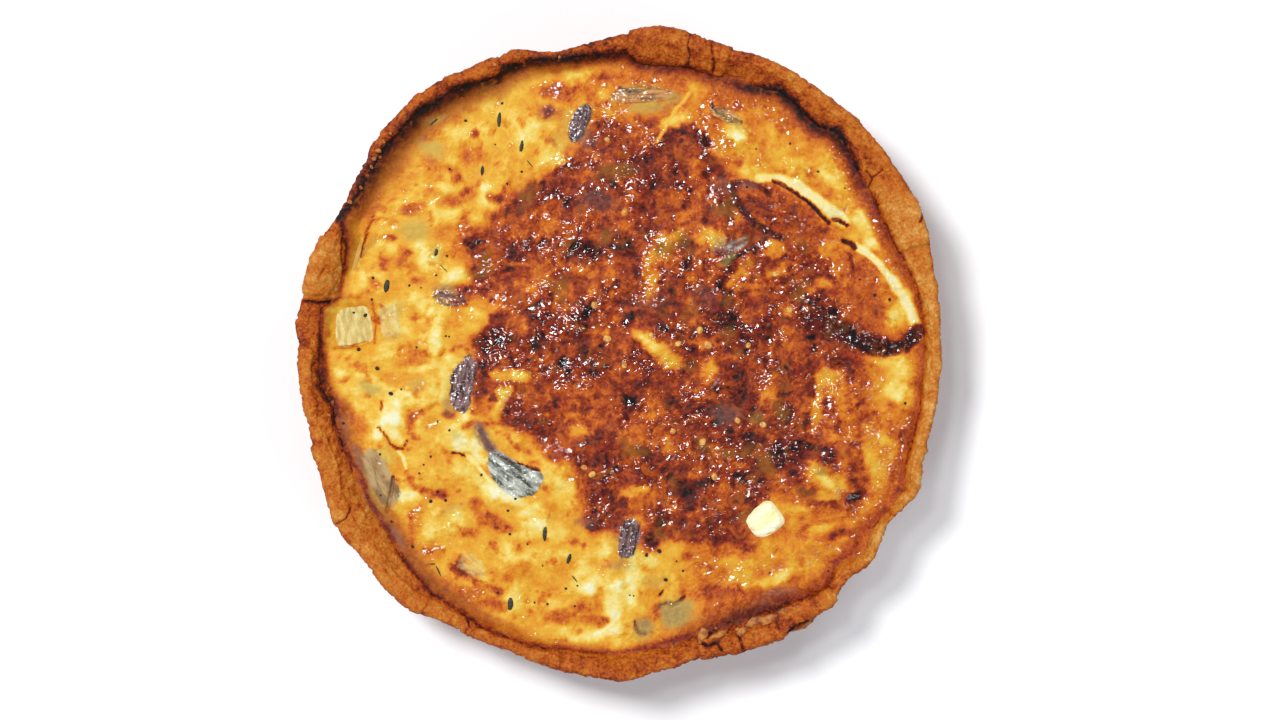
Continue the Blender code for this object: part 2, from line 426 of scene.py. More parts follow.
BROWNING = (
    (0.00, (255, 250, 205)),
    (0.12, (255, 226, 118)),
    (0.25, (247, 190, 58)),
    (0.38, (236, 150, 34)),
    (0.50, (220, 112, 26)),
    (0.62, (184, 76, 22)),
    (0.74, (134, 42, 18)),
    (0.86, (76, 22, 14)),
    (0.95, (34, 10, 10)),
    (1.00, (14, 8, 8)),
)
BAKING = (
    (0.00, (238, 176, 92)),
    (0.20, (220, 138, 46)),
    (0.42, (204, 102, 18)),
    (0.60, (166, 64, 8)),
    (0.76, (98, 32, 8)),
    (0.90, (42, 14, 8)),
    (1.00, (14, 7, 6)),
)


RUSSET = (160, 34, 12)
AMBER = (222, 112, 20)


@dataclass(frozen=True)
class Overlay:
    """A tint that shows through the custard where the points keep it."""

    kept: str
    colour: Colour
    size: float  # of its mottling, in mm
    depth: float  # how strong that mottling is
    share: float  # how much of the tint shows on average

    def over(self, shader: Shader, colour: Wire) -> Wire:
        """Lay the tint over a colour."""
        share = shader.kept(self.kept) * (self.share + self.depth * shader.grain(self.size, 3.0))
        return shader.mix(share, colour, self.colour)


OVERLAYS = (
    # The first tint is dull olive brown: mottling in the browned middle, and partly painted shade of the wall
    # where the custard climbs it at the back left.
    Overlay("olive", (146, 92, 24), 2.0, 1.0, 0.85),
    Overlay("veil", (202, 174, 84), 2.0, 1.4, 0.85),
    Overlay("ash", (122, 98, 90), 1.4, 1.8, 0.8),
)


def custard_colour(shader: Shader) -> Wire:
    """The colour of the baked custard, from how the points keep that it baked and the shade painted into
    them.
    """
    tone = shader.kept("tone")
    browned = tone.over(0.3, 0.6)
    tone = tone + shader.grain(2.8, 3.0, wander=1.4) * (0.18 + 0.24 * browned)
    tone = tone + shader.grain(0.9, 2.0, wander=0.6) * (0.12 + 0.20 * browned)
    colour = shader.ramp(tone, BROWNING)
    red = shader.grain(5.0, 3.0, wander=0.8).over(0.0, 0.22) * browned
    colour = shader.mix(0.35 * red, colour, RUSSET)
    amber = shader.grain(7.0, 3.0, wander=1.2).over(0.04, 0.2) * browned
    colour = shader.mix(0.4 * amber, colour, AMBER)
    for overlay in OVERLAYS:
        colour = overlay.over(shader, colour)
    return colour


def moist(shader: Shader) -> tuple[Wire, Wire]:
    """How wet a baked top is in each place, and its fine wrinkles."""
    wet = shader.kept("wet") + 0.8 * shader.grain(3.2, 1.5, wander=0.5) + 0.5 * shader.grain(1.1, 1.0)
    settings = {"Rotation": (0.0, 0.0, 0.9), "Scale": (1.0, 1.5, 1.0)}
    along = shader.node("ShaderNodeMapping", {}, {"Vector": shader.place(), **settings})
    wrinkle = shader.grain(2.7, 0.2, along, 0.8) * (0.25 + 0.4 * shader.kept("wet").over(0.3, 0.8))
    swell = shader.grain(4.0, 0.5, wander=0.8) * (0.35 + 0.4 * shader.kept("wet").over(0.2, 0.9))
    return wet.over(0.54, 0.66), wrinkle + swell


@dataclass(frozen=True)
class CrustFinish:
    """Baked shortcrust, matt and crumbly, with burnt edges, painted shade in its cracks and along its inner
    line, and baked-on custard.
    """

    crumb: float = 0.9  # the size of its grain, in mm

    def make(self) -> bpy.types.Material:
        """Make the material."""
        shader = Shader("crust_baked")
        film = shader.kept("film") + 0.3 * shader.grain(1.6, 3.0)
        mottle = 0.7 * shader.grain(3.4, 4.0, wander=0.8) + 0.6 * shader.grain(0.9, 2.0)
        pastry = shader.ramp(shader.kept("bake") + mottle, BAKING)
        colour = shader.mix(film.over(0.35, 0.65), pastry, custard_colour(shader))
        wet, wrinkle = moist(shader)
        height = 0.42 * shader.grain(self.crumb, 3.0) + 0.4 * shader.grain(3.0, 2.0, wander=1.0)
        height = height * (1 - shader.kept("film")) + wrinkle * shader.kept("film")
        return shader.glaze(colour, wet * film.over(0.6, 1.0), height)


@dataclass(frozen=True)
class CustardFinish:
    """Baked egg custard, glossy, from cream yellow to burnt purple-black."""

    def make(self) -> bpy.types.Material:
        """Make the material."""
        shader = Shader("custard_browned")
        wet, height = moist(shader)
        return shader.glaze(custard_colour(shader), wet, height)


@dataclass(frozen=True)
class PieceFinish:
    """Cooked vegetable lying in the custard, moist and streaked along its length."""

    name: str
    flesh: Colour
    streak: Colour
    grain: float = 1.3  # how wide its streaks are

    def make(self) -> bpy.types.Material:
        """Make the material."""
        shader = Shader(self.name)
        fibre = shader.grain(self.grain, 3.0, shader.kept_vector("grain"), 0.3)
        own = shader.mix((0.5 + 3.0 * fibre).over(0.0, 1.0), self.streak, self.flesh)
        cover = shader.kept("cover") + 0.5 * shader.grain(1.8, 3.0)
        colour = shader.mix(cover.over(0.3, 0.7), custard_colour(shader), own)
        wet, height = moist(shader)
        height = height + 0.22 * (fibre * shader.kept("cover"))
        return shader.glaze(colour, wet, height)


@dataclass(frozen=True)
class ScatterFinish:
    """What the small things strewn in the top are like: leaves, pepper, seeds and crumbs."""

    name: str
    dark: Colour
    light: Colour
    size: float  # of its mottling, in mm
    roughness: float = 0.5

    def make(self) -> bpy.types.Material:
        """Make the material."""
        shader = Shader(self.name)
        share = (0.5 + 3.0 * shader.grain(self.size, 3.0)).over(0.0, 1.0)
        colour = shader.mix(share, self.dark, self.light)
        height = shader.grain(0.5 * self.size, 2.0)
        return shader.finish(colour, self.roughness + 0.2 * shader.grain(self.size), height, 0.3)


# ---------------------------------------------------------------- meshes


def add_piece(name: str, points: Array, faces: Faces, kept: dict[str, Array], slot: str) -> bpy.types.Object:
    """Make a piece of the quiche from its points and faces.

    Args:
        name: the piece's name.
        points: its points in millimetres, one row each.
        faces: the corners of each face.
        kept: the values, or rows of three, that its points keep for the material.
        slot: the material slot meant for its finish; not used.

    Returns:
        The object, smooth all over and riding on the quiche's body.
    """
    mesh = bpy.data.meshes.new(name)
    mesh.from_pydata((points * MM).tolist(), [], faces)
    for key, values in kept.items():
        if values.ndim == 2:
            mesh.attributes.new(key, "FLOAT_VECTOR", "POINT").data.foreach_set("vector", values.ravel())
        else:
            mesh.attributes.new(key, "FLOAT", "POINT").data.foreach_set("value", values.ravel())
    mesh.shade_smooth()
    piece = bpy.data.objects.new(name, mesh)
    bpy.context.scene.collection.objects.link(piece)
    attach(piece, BODY)
    return piece


def ring_faces(rings: int, around: int) -> Faces:
    """The faces of a closed body made of rings, with a point inside the first ring and one inside the last.

    Args:
        rings: how many rings there are, from the inside outwards and down.
        around: how many points each has.

    Returns:
        The corners of each face. The rings' points come first, then the two middles.
    """
    here = np.arange(around)
    there = (here + 1) % around
    faces: Faces = []
    for ring in range(rings - 1):
        low, high = ring * around, (ring + 1) * around
        faces += np.column_stack((low + here, high + here, high + there, low + there)).tolist()
    first, last = rings * around, rings * around + 1
    faces += np.column_stack((np.full(around, first), here, there)).tolist()
    base = (rings - 1) * around
    faces += np.column_stack((np.full(around, last), base + there, base + here)).tolist()
    return faces


def outward(rings: Array) -> Array:
    """The direction that faces outwards at each point of a grid of rings, given as (ring, point, 3)."""
    along = np.gradient(rings, axis=0)
    around = np.roll(rings, -1, axis=1) - np.roll(rings, 1, axis=1)
    normal = np.cross(along, around)
    return normal / np.maximum(np.linalg.norm(normal, axis=2, keepdims=True), 1e-9)


class Turned:
    """A size that changes round the quiche and is known at even bearings."""

    def __init__(self, values: Array) -> None:
        """Hold the values, the first of them at bearing 0."""
        self.values = values

    @classmethod
    def from_marks(cls, marks: dict[float, float]) -> "Turned":
        """Make one from its values at a few bearings, straight between them."""
        places = sorted(marks)
        known = [marks[place] for place in places]
        return cls(np.interp(np.arange(360), places, known, period=360))

    @classmethod
    def from_corners(cls, corners: Array) -> "Turned":
        """The radius of a closed outline with straight sides, from its corners in order."""
        turn = np.radians(np.arange(0, 360, 0.5))
        found = np.zeros(len(turn))
        for (ax, ay), (bx, by) in zip(corners, np.roll(corners, -1, axis=0)):
            start, end = math.atan2(ay, ax), math.atan2(by, bx)
            inside = (turn - start) % (2 * np.pi) <= (end - start) % (2 * np.pi)
            across = np.cos(turn[inside]) * (by - ay) - np.sin(turn[inside]) * (bx - ax)
            found[inside] = (ax * by - bx * ay) / across
        return cls(found)

    def at(self, bearing: Array) -> Array:
        """The size at each bearing, smooth between the known ones."""
        place = (np.asarray(bearing, float) % 360) / 360 * len(self.values)
        low = np.floor(place).astype(int)
        part = place - low
        before, here, there, after = (self.values[(low + step) % len(self.values)] for step in (-1, 0, 1, 2))
        bend = 2 * before - 5 * here + 4 * there - after + part * (3 * (here - there) + after - before)
        return here + 0.5 * part * (there - before + part * bend)


class Shell:
    """The pastry shell's outline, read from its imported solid."""

    LEVEL_WITHIN = 0.05  # of the filling's level, in mm
    SHOULDER = 0.85  # the share of the inside slope's width where it rounds over
    BEND = 0.5  # the share of that width where the slope eases
    BEND_RISE = 0.62  # the share of its height that it has reached there
    FOOT_ROUND = 2.0

    def __init__(self, node: bpy.types.Object) -> None:
        """Measure the solid.

        Args:
            node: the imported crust.
        """
        points = np.array([corner.co for corner in node.data.vertices]) / MM
        radius = np.hypot(points[:, 0], points[:, 1])
        bearing = np.degrees(np.arctan2(points[:, 1], points[:, 0])) % 360
        rim = radius > BASE_RADIUS / 2
        count = len(np.unique(np.round(bearing[rim], 1) % 360))
        place = np.round(bearing / 360 * count).astype(int) % count
        outer, inner, crest, crest_radius = (np.zeros(count) for _ in range(4))
        for step in range(count):
            here = (place == step) & rim
            outer[step] = radius[here].max()
            crest[step] = points[here, 2].max()
            crest_radius[step] = radius[here][points[here, 2].argmax()]
            level = np.abs(points[:, 2] - FILL_LEVEL) < self.LEVEL_WITHIN
            inner[step] = radius[here & level].min()
        self.outer, self.inner, self.crest = Turned(outer), Turned(inner), Turned(crest)
        self.crest_radius = Turned(crest_radius)

    def shoulder(self, bearing: Array) -> Array:
        """The radius where the inside slope rounds over on to the top of the rim."""
        return blend(self.inner.at(bearing), self.crest_radius.at(bearing), self.SHOULDER)

    def slope(self, bearing: Array, radius: Array) -> Array:
        """The height of the inside slope at each bearing and radius."""
        inner, crest = self.inner.at(bearing), self.crest.at(bearing)
        share = (radius - inner) / (self.crest_radius.at(bearing) - inner)
        low = share / self.BEND * self.BEND_RISE
        high = blend(self.BEND_RISE, 1.0, (share - self.BEND) / (1 - self.BEND))
        return blend(FILL_LEVEL, crest, np.where(share < self.BEND, low, np.minimum(high, 1.0)))

    def wall(self, bearing: Array, height: float) -> Array:
        """The wall's inside radius at a height under the custard's edge."""
        foot = BASE_THICKNESS + self.FOOT_ROUND
        return blend(WALL_FOOT, self.inner.at(bearing), max(0.0, (height - foot) / (FILL_LEVEL - foot)))


class Relief:
    """The custard's broad level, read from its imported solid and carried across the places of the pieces."""

    STEP = 2.0  # between the places where it is measured
    REACH = 124.0
    LOWEST = 25.0  # what lies under this is a socket or lies outside
    WIDE = 6  # steps over which the places of the pieces are filled in
    START = 0.1  # where the measuring starts, in metres

    def __init__(self, node: bpy.types.Object) -> None:
        """Measure the solid from above.

        Args:
            node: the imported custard.
        """
        corners = [corner.co for corner in node.data.vertices]
        tree = BVHTree.FromPolygons(corners, [face.vertices[:] for face in node.data.polygons])
        marks = np.arange(-self.REACH, self.REACH + self.STEP, self.STEP)
        level = np.zeros((len(marks), len(marks)))
        down = Vector((0.0, 0.0, -1.0))
        for row, x in enumerate(marks):
            for column, y in enumerate(marks):
                hit = tree.ray_cast(Vector((x * MM, y * MM, self.START)), down)[0]
                level[row, column] = hit.z / MM if hit else 0.0
        known = level > self.LOWEST
        cover = np.maximum(self.spread(known.astype(float), self.WIDE), 1e-6)
        wide = self.spread(level * known, self.WIDE) / cover
        level = np.where(known, level, np.where(wide > self.LOWEST, wide, FILL_LEVEL))
        self.level = self.spread(level, 1) / self.spread(np.ones_like(level), 1)

    @staticmethod
    def spread(values: Array, steps: int) -> Array:
        """Blur a grid of values over about this many of its steps."""
        reach = np.arange(-3 * steps, 3 * steps + 1)
        weights = np.exp(-0.5 * (reach / steps) ** 2)
        for axis in (0, 1):
            values = np.apply_along_axis(np.convolve, axis, values, weights, "same")
        return values

    def at(self, x: Array, y: Array) -> Array:
        """The level at each place."""
        column, row = ((part + self.REACH) / self.STEP for part in (y, x))
        low_x, low_y = (np.clip(np.floor(part).astype(int), 0, len(self.level) - 2) for part in (row, column))
        part_x, part_y = row - low_x, column - low_y
        near = blend(self.level[low_x, low_y], self.level[low_x, low_y + 1], part_y)
        far = blend(self.level[low_x + 1, low_y], self.level[low_x + 1, low_y + 1], part_y)
        return blend(near, far, part_x)


# ---------------------------------------------------------------- how the custard baked


class Channel(Enum):
    """What a daub changes on the custard."""

    TONE = "tone"  # how browned it is, from cream to burnt, with painted shade in creases, gaps and along the rim
    VEIL = "veil"  # pale green of a vegetable just under it
    OLIVE = "olive"  # dull olive brown, mottled in the browned middle; where it climbs the wall, partly painted shade of the wall
    ASH = "ash"  # grey of aubergine juice
    WET = "wet"  # shine and fine wrinkles
    RISE = "rise"  # height, in mm


@dataclass(frozen=True)
class Daub:
    """A soft-edged oval patch on the custard."""

    x: float
    y: float
    length: float
    width: float
    value: float = 1.0
    turn: float = 0.0
    hold: float = 1.0
    edge: tuple[float, float] = (1.5, 0.35)  # where it starts and is whole, as shares of its half width
    reach: float = 0.8  # how far from its middle it is looked for, as a share of its size

    def lay(self, x: Array, y: Array, values: Array, uneven: Array) -> None:
        """Change the values where the patch lies.

        Args:
            x: the points' places.
            y: the same.
            values: what is changed, one for each point.
            uneven: how much more or less of the patch shows at each point.
        """
        reach = self.reach * max(self.length, self.width)
        near = np.nonzero((np.abs(x - self.x) < reach) & (np.abs(y - self.y) < reach))[0]
        turn = math.radians(self.turn)
        along = (x[near] - self.x) * math.cos(turn) + (y[near] - self.y) * math.sin(turn)
        across = (y[near] - self.y) * math.cos(turn) - (x[near] - self.x) * math.sin(turn)
        away = np.hypot(2 * along / self.length, 2 * across / self.width)
        values[near] = blend(values[near], self.value, self.hold * ease(*self.edge, away + uneven[near]))


@dataclass(frozen=True)
class Trail:
    """A soft-edged band along a bent line on the custard."""

    width: float
    value: float
    path: tuple[Place, ...]
    hold: float = 0.9

    def away(self, x: Array, y: Array) -> Array:
        """Each point's distance from the line."""
        nearest = np.full(len(x), math.inf)
        for (ax, ay), (bx, by) in zip(self.path, self.path[1:]):
            run_x, run_y = bx - ax, by - ay
            share = np.clip(((x - ax) * run_x + (y - ay) * run_y) / (run_x**2 + run_y**2), 0, 1)
            nearest = np.minimum(nearest, np.hypot(x - ax - share * run_x, y - ay - share * run_y))
        return nearest

    def cover(self, x: Array, y: Array, start: float, whole: float) -> Array:
        """From 1 within one share of its width of the line to 0 beyond another."""
        return ease(start * self.width, whole * self.width, self.away(x, y))

    def lay(self, x: Array, y: Array, values: Array) -> None:
        """Change the values along the line, as a daub does."""
        values[:] = blend(values, self.value, self.hold * self.cover(x, y, 0.65, 0.3))


@dataclass(frozen=True)
class Zone:
    """A part of the custard that baked alike, inside a closed line."""

    value: float
    soft: float  # how wide its edge is
    outline: tuple[Place, ...]

    def cover(self, x: Array, y: Array) -> Array:
        """From 1 well inside the zone to 0 outside it."""
        inside = np.zeros(len(x), bool)
        closed = (*self.outline, self.outline[0])
        for (ax, ay), (bx, by) in zip(closed, closed[1:]):
            crosses = (ay > y) != (by > y)
            inside ^= crosses & (x < ax + (y - ay) * (bx - ax) / (by - ay + 1e-9))
        away = Trail(1.0, 0.0, closed).away(x, y)
        return ease(-self.soft, self.soft, np.where(inside, away, -away))


RIGHT_ZONE = Zone(0.45, 7.0, (
    (-12, 112), (-14, 96), (-10, 84), (5, 60), (40, 0), (20, -60), (24, -84), (34, -112), (80, -100),
    (112, -60), (124, 0), (112, 60), (70, 104), (20, 118),
))
BROWN_ZONE = Zone(0.71, 4.0, (
    (-44, 56), (-38, 61), (-28, 67), (-21, 75), (-13, 82), (-9, 90), (2, 88), (12, 84), (18, 86), (28, 88),
    (34, 80), (42, 70), (46, 55), (56, 45), (66, 44), (76, 41), (80, 30), (84, 18), (90, 10), (91, -4),
    (92, -30), (92, -52), (82, -58), (70, -56), (66, -50), (58, -53), (48, -60), (50, -70), (38, -73),
    (24, -68), (12, -73), (-3, -64), (-8, -67), (-14, -62), (-13, -50), (-20, -40), (-27, -35), (-34, -30),
    (-44, -24), (-50, -22), (-53, -5), (-54, 6), (-48, 11), (-46, 17), (-55, 21), (-62, 19), (-60, 26),
    (-56, 33), (-60, 44), (-50, 48),
))

TONES = (
    # back left, yellow
    (-58, 83, 12, 7, .14, 20), (-40, 88, 14, 8, .20, -60), (-44, 96, 16, 6, .20, 15),
    (-33, 84, 12, 8, .16, 30), (-24, 74, 9, 9, .18), (-35, 101, 18, 5, .22, 20), (-63, 64, 11, 6, .14, 30),
    (-49, 60, 7, 12, .17), (-64, 52, 12, 5, .20), (-86, 41, 14, 7, .22, 20), (-72, 38, 12, 9, .20, -40),
    (-98, 27, 12, 6, .22, 70), (-61, 30, 10, 7, .03), (-69, 7, 19, 7, .08, 80), (-70, 16, 10, 5, .16, 20),
    # (-85, 70), (-80, 64), (-93, 56), (-70, 84), (-58, 93) and (-42, 102) brown the custard along the back
    # left wall: partly baked brown, partly painted shade of the wall.
    (-73, 79, 10, 6, .26, 30), (-88, 49, 10, 5, .26, 60), (-80, 12, 8, 8, .24), (-85, 70, 16, 7, .46, 50),
    (-80, 64, 16, 6, .40, 50), (-93, 56, 16, 6, .48, 58), (-70, 84, 16, 6, .46, 42),
    (-58, 93, 18, 5, .42, 26), (-42, 102, 20, 4, .38, 14), (-60, 88, 7, 4, .50), (-54, 83, 4, 4, .62),
    (-66, 71, 13, 4, .54, -18), (-54, 74, 10, 6, .52), (-62, 57, 9, 5, .54), (-55, 60, 8, 5, .50, 80),
    (-61, 66, 5, 4, .50), (-77, 55, 9, 4, .58, 15), (-69, 61, 6, 3, .46), (-85, 34, 10, 5, .50),
    (-80, 37, 5, 6, .52), (-77, 33, 6, 3, .48), (-86, 44, 5, 3, .50), (-91, 27, 5, 6, .57),
    (-75, 28, 6, 3, .46), (-66, 46, 8, 6, .42), (-58, 47, 10, 5, .52, 85), (-60, 40, 9, 8, .52),
    (-78, 4, 9, 5, .40), (-74, 1, 7, 3, .54), (-88, 3, 14, 4, .30), (-60, 14, 8, 6, .40),
    (-66, 24, 7, 6, .44), (-27, 90, 10, 9, .50), (-27, 90, 4, 4, .90), (-22, 98, 16, 8, .66),
    (-15, 105, 9, 3, .20, 5), (-5, 104, 12, 6, .46), (-4, 91, 12, 6, .44), (-25, 85, 8, 5, .36),
    (-18, 76, 6, 6, .50), (-96, 48, 6, 4, .40, 60),
    # front left, yellow
    (-98, -15, 15, 11, .22, -50), (-104, -6, 6, 4, .10), (-85, -21, 17, 9, .05, 90),
    (-83, -29, 8, 5, .05, -50), (-92, -29, 7, 5, .09), (-79, -16, 12, 6, .12, 10), (-70, -10, 8, 6, .20),
    (-65, -9, 20, 4, .12, 84), (-72, -4, 14, 3, .12, 20), (-57, -33, 15, 8, .05, -20),
    (-61, -28, 10, 6, .16), (-52, -38, 7, 5, .07), (-49, -49, 12, 6, .07, -35), (-41, -53, 15, 4, .03, -12),
    (-33, -57, 11, 5, .10, 12), (-24, -43, 12, 8, .19, 40), (-20, -51, 8, 8, .20), (-76, -38, 9, 8, .22),
    (-66, -44, 10, 8, .26), (-79, -52, 9, 5, .05), (-57, -42, 9, 6, .15), (-70, -62, 10, 9, .20),
    (-60, -60, 10, 6, .20), (-31, -63, 10, 10, .14), (-36, -68, 10, 6, .18), (-23, -66, 8, 6, .20),
    (-14, -80, 10, 6, .13), (-13, -86, 10, 6, .05), (-8, -83, 6, 5, .12), (-2, -92, 22, 7, .07, 88),
    (-10, -104, 18, 4, .07, 6), (-25, -92, 10, 5, .18), (-20, -102, 18, 4, .26), (-33, -75, 8, 6, .17),
    (-42, -73, 9, 8, .20), (-6, -72, 6, 9, .16), (-95, -22, 8, 5, .20), (-90, -13, 10, 5, .24),
    (-88, -5, 9, 4, .30), (-77, -2, 11, 5, .48, 10), (-82, -9, 14, 5, .37), (-74, -12, 8, 5, .36),
    (-77, -23, 6, 4, .64, 80), (-72, -20, 12, 2.5, .58, 25), (-98, -25, 15, 7, .50, -50),
    (-91, -41, 8, 8, .42), (-86, -35, 8, 4, .38), (-78, -46, 7, 2.5, .58, -50), (-73, -50, 8, 3, .62, -25),
    (-67, -51.5, 8, 3, .62, -5), (-54, -54, 5, 4, .60), (-53, -57, 6, 3, .52, -50),
    (-45, -63, 12, 5, .57, -25), (-50, -60, 5, 5, .54), (-57, -66, 10, 3.5, .62, 10),
    (-76, -63, 10, 4, .57, 85), (-73, -55, 9, 3, .44, 60), (-38, -80, 11, 7, .54, 30),
    (-38, -71, 5, 5, .48), (-41, -82, 4, 4, .56), (-26, -57, 8, 5, .38), (-47, -92, 10, 5, .62, -10),
    (-53, -93, 8, 3, .52), (-22, -97, 10, 5, .60), (-11, -93, 10, 6, .50), (-10, -98, 11, 4, .54),
    (-28, -84, 20, 7, .34, -10), (-21, -78, 10, 6, .38), (-59, -80, 9, 4, .80, -20),
    (-59, -77, 5, 3, .72, 90), (-51, -85, 16, 3, .56, -15), (-56, -88, 14, 5, .52), (-70, -73, 9, 9, .42),
    (-64, -22, 4, 3, .74), (-80, -68, 10, 5, .44, -50), (-63, -86, 10, 5, .46, -40),
    (-42, -100, 12, 4, .40, -20), (-66, -33, 8, 6, .22), (-63, -68, 7, 6, .30), (-48, -80, 10, 4, .34, -30),
    # the pale places and dark edges round the left of the browned part
    (-52, -12, 17, 4.5, .76, 85), (-50, -13, 2.4, 3, .98), (-56, -26, 7, 3, .62, 20),
    (-46, -25, 12, 3, .64, 12), (-37, -7, 9, 4, .10, -20), (-43, -7, 8, 4, .24), (-44, -19, 11, 5, .13, 80),
    (-43, -13, 6, 5, .12), (-36, -33, 12, 5, .34, -35), (-45, -28, 9, 4, .30, -45), (-31, -40, 6, 3, .52),
    (-48, 6, 13, 9, .86, 20), (-45, 13, 8, 6, .77), (-42, 0, 9, 4, .76), (-40, -21, 9, 9, .78),
    (-34, -3, 9, 5, .74),
    # the browned middle
    (-14, 60, 22, 10, .74), (-8, 59, 10, 6, .80), (-13, 40, 6, 5, .96), (-7, 39, 4, 3, .93),
    (-38, 55, 22, 5, .74, 20), (-30, 64, 20, 4, .73, 22), (-45, 59, 7, 4, .75), (-50, 44, 12, 8, .66, -40),
    (-50, 28, 10, 9, .70), (-30, 25, 14, 9, .57), (-20, 24, 10, 10, .60), (-15, 33, 15, 4, .55, -20),
    (-30, 51, 10, 5, .59), (-10, 24, 5, 4, .52), (-28, 14, 6, 4, .86), (-12, 2, 7, 5, .86),
    (-30, 4, 5, 5, .80), (-4, 66, 6, 11, .73), (-20, -3, 8, 6, .82), (-9, -5, 9, 8, .84),
    (-28, -10, 14, 6, .74), (-12, -13, 24, 9, .64), (-25, -22, 20, 7, .68), (-10, -22, 20, 9, .62),
    (-25, -33, 9, 5, .70), (-15, -28, 9, 4, .44), (-22, -37, 9, 5, .73), (-10, -40, 12, 4, .82),
    (-8, -57, 10, 7, .68), (-13, -52, 7, 8, .64), (-10, -64, 5, 3, .93), (-38, 12, 8, 8, .58),
    (-36, 46, 7, 5, .57), (-45, 50, 5, 4, .56), (-22, 44, 10, 8, .66), (-5, 8, 4, 3, .46),
    (-26, 84, 5, 4, .30), (-10, 74, 12, 7, .62), (-12, 67, 8, 5, .60), (-4, 30, 6, 8, .58),
    (26, 83, 13, 5, .80, -30), (21, 85, 6, 4, .78), (33, 76, 14, 5, .78, -45), (7, 72, 10, 12, .76),
    (12, 68, 8, 12, .76), (10, 55, 14, 10, .72), (33, 62, 12, 8, .64), (28, 48, 12, 8, .64),
    (30, 37, 12, 8, .62), (20, 28, 10, 6, .74), (5, 28, 10, 6, .72), (15, 17, 20, 6, .78),
    (8, 15, 12, 4, .82), (38, 27, 6, 5, .92), (40, 12, 12, 5, .93), (36, 15, 6, 5, .82),
    (55, 10, 8, 8, .80), (53, 6, 10, 5, .84), (60, 14, 6, 6, .82), (75, 12, 14, 11, .89),
    (83, 7, 12, 7, .84), (73, 20, 12, 5, .76), (88, 14, 12, 5, .72), (48, 47, 7, 6, .76),
    (15, 39, 17, 6, .46, 55), (20, 44, 11, 6, .42, 10), (12, 28, 15, 6, .46, 82), (33, 45, 8, 8, .38),
    (37, 43, 6, 6, .22), (45, 30, 15, 6, .50, 55), (58, 40, 12, 7, .40), (62, 33, 8, 6, .48),
    (76, 38, 8, 6, .42), (82, 33, 8, 5, .44), (52, 25, 10, 6, .58), (77, 27, 8, 5, .52),
    (63, 17, 5, 5, .50), (57, 30, 6, 5, .50), (9, 7, 11, 4, .26, -38), (14, 3, 15, 5, .18, -38),
    (18, -2, 10, 5, .26, -10), (24, 58, 10, 8, .60), (2, 54, 3, 3, .42), (75, 46, 6, 6, .66),
    (75, 46, 3, 3, .80), (66, 45, 10, 5, .50, 80), (25, 12, 8, 6, .62), (32, 5, 12, 5, .58),
    (44, 20, 6, 5, .60), (28, 28, 6, 5, .58), (34, -5, 9, 6, .34, 85), (5, -14, 9, 6, .86),
    (12, -8, 10, 6, .74), (9, -12, 6, 4, .86), (20, -12, 12, 7, .70), (45, -14, 10, 8, .84),
    (37, -22, 14, 9, .86), (50, -20, 10, 6, .80), (26, -26, 9, 5, .78), (50, -31, 9, 5, .92),
    (56, -14, 15, 7, .54, 78), (62, -10, 18, 4, .85, 80), (62, -22, 8, 6, .88), (62, -36, 11, 9, .94),
    (70, -33, 12, 3, .92, -15), (55, -37, 8, 6, .82), (48, -38, 9, 5, .76), (52, -45, 12, 6, .86),
    (45, -46, 10, 6, .93), (45, -53, 9, 4, .91), (25, -50, 10, 9, .95), (25, -57, 6, 3, .90),
    (15, -61, 9, 5, .85, 85), (10, -53, 10, 7, .58), (9, -49.5, 5, 3, .18), (4, -50, 7, 4, .44),
    (12, -45, 12, 4, .76), (22, -41, 14, 4, .74), (35, -37, 9, 6, .66, 80), (18, -33, 14, 7, .58),
    (5, -30, 14, 9, .60), (10, -22, 14, 8, .60), (15, -27, 8, 4, .54), (35, -55, 14, 9, .68),
    (37, -49, 8, 6, .62), (23, -63, 9, 5, .76), (30, -66, 15, 5, .78), (40, -68, 12, 4, .78),
    (46, -71, 13, 3, .70, -8), (50, -52, 15, 4, .80, 20), (57, -45, 6, 6, .60), (61, -49, 6, 7, .54),
    (20, -55, 8, 6, .60), (28, -60, 8, 5, .60), (6, -62, 6, 5, .46), (30, -44, 8, 4, .62),
    (94, 20, 44, 20, .60, -60), (98, 12, 16, 10, .52, -20), (88, 26, 12, 8, .62, -60),
    (100, 24, 12, 6, .50, -60), (58, 54, 36, 15, .76, -28), (54, 60, 12, 5, .60, -20),
    (60, 56, 8, 4, .62, -20), (50, 54, 8, 5, .72, -60),
    # back right, orange
    (25, 97, 46, 15, .54, -10), (5, 104, 14, 4, .50), (12, 102, 16, 3, .54), (30, 100, 14, 7, .34, 30),
    (28, 92, 12, 9, .42), (22, 89, 8, 5, .20, 50), (18, 87, 7, 3, .14, 40), (43, 85, 11, 7, .22, -20),
    (44, 82, 7, 4, .09), (38, 76, 9, 5, .42), (47, 76, 10, 8, .33), (51, 68, 15, 7, .34),
    (60, 74, 12, 8, .28), (66, 71, 14, 7, .24), (63, 79, 20, 4, .34), (75, 76, 10, 7, .36),
    (55, 83, 10, 7, .36), (55, 89, 18, 5, .50, -20), (62, 86, 8, 5, .50), (45, 95, 16, 5, .52, -15),
    (77, 68, 10, 8, .20), (82, 65, 8, 8, .30), (88, 55, 13, 9, .26, -50), (91, 48, 12, 7, .16, -70),
    (94, 42, 8, 5, .12), (86, 45, 5, 5, .28), (15, 95, 10, 5, .42), (8, 86, 14, 6, .58),
    (6, 91, 12, 4, .46), (35, 87, 8, 5, .56), (70, 82, 12, 5, .40), (104, 16, 10, 9, .16),
